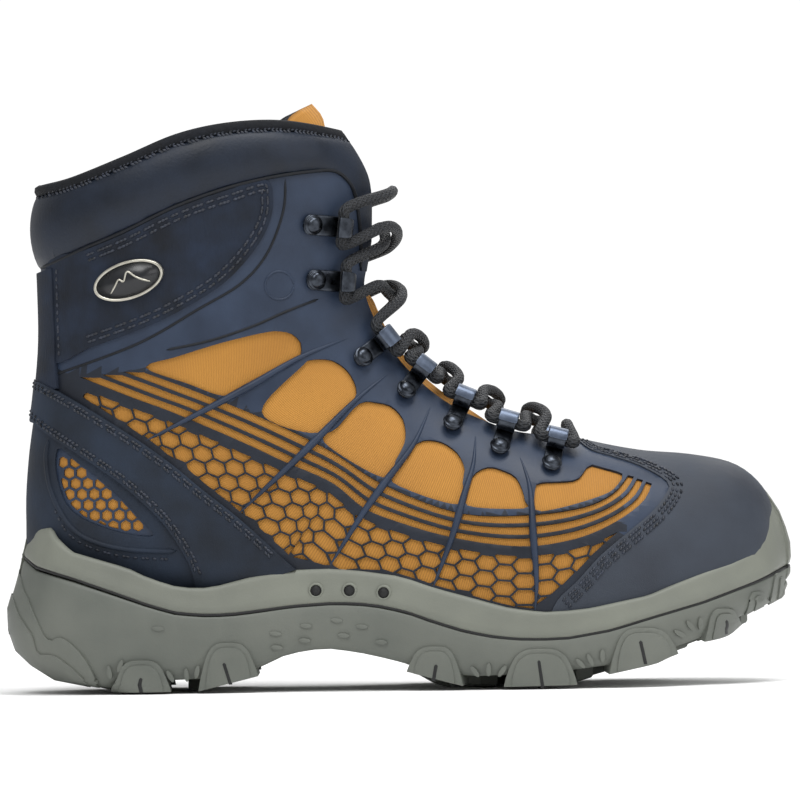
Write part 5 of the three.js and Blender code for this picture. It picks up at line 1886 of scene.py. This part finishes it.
BUMPS = [
    (-49.8, 23.3), (-37.6, 26.2), (-25.5, 28.2), (-15.6, 25.6), (-22.8, 22.2), (-38.2, 20.4),
    (-49.3, 17.8), (-8, 19.4), (-96, 26),
]
HEEL_WAVE = [
    (-152.0, 50), (-149.3, 42), (-146.7, 36.5), (-144.2, 31.5), (-139.6, 22), (-134.5, 23),
    (-129.4, 20.2), (-124.3, 14.1), (-120.9, 7.2), (-119, 2.6),
]
HEEL_WAVE_LOW = [
    (-154.6, 40.6), (-149.8, 29.8), (-145, 23.6), (-142.8, 16.6), (-137.4, 15.8), (-130.4, 11.4),
    (-125, 6.2), (-122.6, 2.6),
]


def below_wave(wave, step=2.0):
    """The heel corner outside a wavy contour: the contour, and back along the sole's lower edge."""
    line = smooth(wave, step)
    z = np.linspace(line[-1, 1], line[0, 1], 26)[1:-1]
    back = np.stack([np.interp(z, HEEL_END[:, 0], HEEL_END[:, 1]) + 0.02, z], 1)
    corner = np.concatenate([line, back])
    corner[:, 1] = np.maximum(corner[:, 1], height_of(BASE, corner[:, 0]) + 0.3)
    return corner


def leaf_mark(x, z, lean, long=2.6, wide=0.95):
    """A small leaning oval."""
    turn = np.linspace(0, 2 * np.pi, 15)[:-1]
    a, b = wide * np.cos(turn), long * np.sin(turn)
    c, s = math.cos(lean), math.sin(lean)
    return np.stack([x + a * c - b * s, z + a * s + b * c], 1)


def slit(x0, z0, x1, z1, wide=1.3):
    """The outline of a narrow upright cut with a pointed top; it is laid as a black block of painted shade.
    """
    half, low = wide / 2, z1 - 0.6
    return [(x0 - half, z0), (x0 + half, z0), (x1 + half, low), (x1, z1), (x1 - half, low)]


SIDE_LUGS = 6  # the rest are round the toe, where the wall bends more


for side, tag in SIDES:
    relief(f"lugs_{tag}", [arch(*lug) for lug in LUGS[:SIDE_LUGS]], side, 0.9, 15.0, edge=0.6)
    relief(f"toe_lugs_{tag}", [arch(*lug) for lug in LUGS[SIDE_LUGS:]], side, 0.7, 6.0, step=2)
    faces = [arch(*lug, inset=1.9, flare=0.4) for lug in LUGS]
    relief(f"lug_faces_{tag}", faces, side, 1.5, 4.0, step=2)
    # The slits are black blocks: painted shade for the cuts.
    relief(f"lug_slits_painted_shade_{tag}", [slit(*s) for s in SLITS], side, 1.62, 3.0, BLACK_PAINTED_SHADE, edge=0.1)
    relief(f"leaf_marks_{tag}", [leaf_mark(*m) for m in LEAVES], side, 0.8, 2.0, edge=0.45)
    bumps = [leaf_mark(x, z, 1.45, 2.4, 0.9) for x, z in BUMPS]
    relief(f"arch_bumps_{tag}", bumps, side, 0.5, 2.0, edge=0.35)
    relief(f"heel_step_{tag}", [below_wave(HEEL_WAVE)], side, 0.55, 1.5, edge=0.4)
    relief(f"heel_toe_step_{tag}", [below_wave(HEEL_WAVE_LOW)], side, 1.15, 2.0, edge=0.4)

# %% [markdown]
# The walking face carries blocks between the side lugs: leaning pairs with a small one between them
# under the ball, and leaning pairs under the heel.

# %% Walking face
TREAD = np.array([
    (-150, 13), (-138.5, 6), (-122, 2.6), (-110, 0.4), (-90, 0.4), (-70, 1.2), (-58, 6.5), (0, 9),
    (13, 1.8), (22, 1.2), (40, 0.6), (68, 1.4), (84.5, 5.8), (107.5, 12.8), (121, 17.8), (134, 22.2),
    (144, 30), (152, 36),
])


ABOVE_GROUND = 0.3


def block(bm, x, y, long, wide, turn=0.0, sides=6):
    """A chamfered block under the sole."""
    foot, root = height_of(TREAD, x), height_of(BASE, x) + 2.5
    rows = np.array([(0, root), (1, root), (1, foot + 0.7), (0.9, foot), (0, foot)])

    def skin(u, w):
        k = np.round(w * (len(rows) - 1)).astype(int)
        angle = 2 * np.pi * u
        a, b = long / 2 * rows[k, 0] * np.cos(angle), wide / 2 * rows[k, 0] * np.sin(angle)
        slope = (height_of(TREAD, x + 1) - height_of(TREAD, x - 1)) / 2
        shift = a * math.cos(turn) - b * math.sin(turn)
        z = np.maximum(rows[k, 1] + slope * shift, ABOVE_GROUND)
        return np.stack([x + shift, y + a * math.sin(turn) + b * math.cos(turn), z], 1)

    return cast(sides, len(rows) - 1, skin, bm=bm)


studs = bmesh.new()
for x, half in ((12, 26), (31, 30), (50, 32), (69, 32), (88, 30), (107, 26), (124, 20)):
    for y in (-0.62 * half, 0.62 * half):
        block(studs, x, y + 2, 15, 17, turn=0.5 if y < 0 else -0.5)
    block(studs, x + 9, 2, 11, 9)
for x in (-118, -99, -80):
    block(studs, x, -13, 11, 19, turn=0.35)
    block(studs, x, 13, 11, 19, turn=-0.35)
treads = piece("tread_blocks", studs, RUBBER, "outsole_rubber")
treads.data.set_sharp_from_angle(angle=math.radians(30))

# %% [markdown]
# Three drain holes sit in the cup on each side of the waist. Each is a black disc in a small raised rim,
# painted shade for the hole.

# %% Drains
DRAINS = [(-33.5, 40.1), (-20.3, 39.9), (-6.8, 38.9)]
DRAIN_RIM = [(2.1, -2.5), (2.1, 0.1), (2.35, 0.6), (2.8, 0.55), (3.15, 0.1), (3.15, -2.5), (2.1, -2.5)]
# The well is a black disc: painted shade inside the hole.
DRAIN_WELL = [(0, -3), (2.2, -3), (2.2, 0.35), (0, 0.25)]
for side, tag in SIDES:
    rims, wells = bmesh.new(), bmesh.new()
    for x, z in DRAINS:
        u = turn_at(np.array([x]), np.array([z]))
        u = u if side < 0 else 1 - u
        at = on_wall(u, np.array([z]), 0.0)[0]
        out = on_wall(u, np.array([z]), 1.0)[0] - at
        join(rims, turned(DRAIN_RIM, at, out))
        join(wells, turned(DRAIN_WELL, at, out))
    piece(f"drain_rims_{tag}", rims, MIDSOLE, "midsole_rubber")
    piece(f"drain_wells_painted_shade_{tag}", wells, BLACK_PAINTED_SHADE, "midsole_rubber")

# %% [markdown]
# ## What stays as packed
# The hidden layers are the CAD nodes themselves. They show when the tongue opens or the footbed
# lifts, so each gets its own material.

# %% Hidden layers
for name, material in {
    "footbed": INSOLE,
    "insole_board": BOARD,
    "shank": STEEL,
    "toe_puff": STIFFENER,
    "heel_counter": STIFFENER,
    "collar_foam": FOAM,
}.items():
    nodes[name].data.materials.clear()
    nodes[name].data.materials.append(material)

# %% [markdown]
# ## Finish
# The picture is shown with plain colours.

# %% Finish
bpy.context.scene.view_settings.view_transform = "Standard"
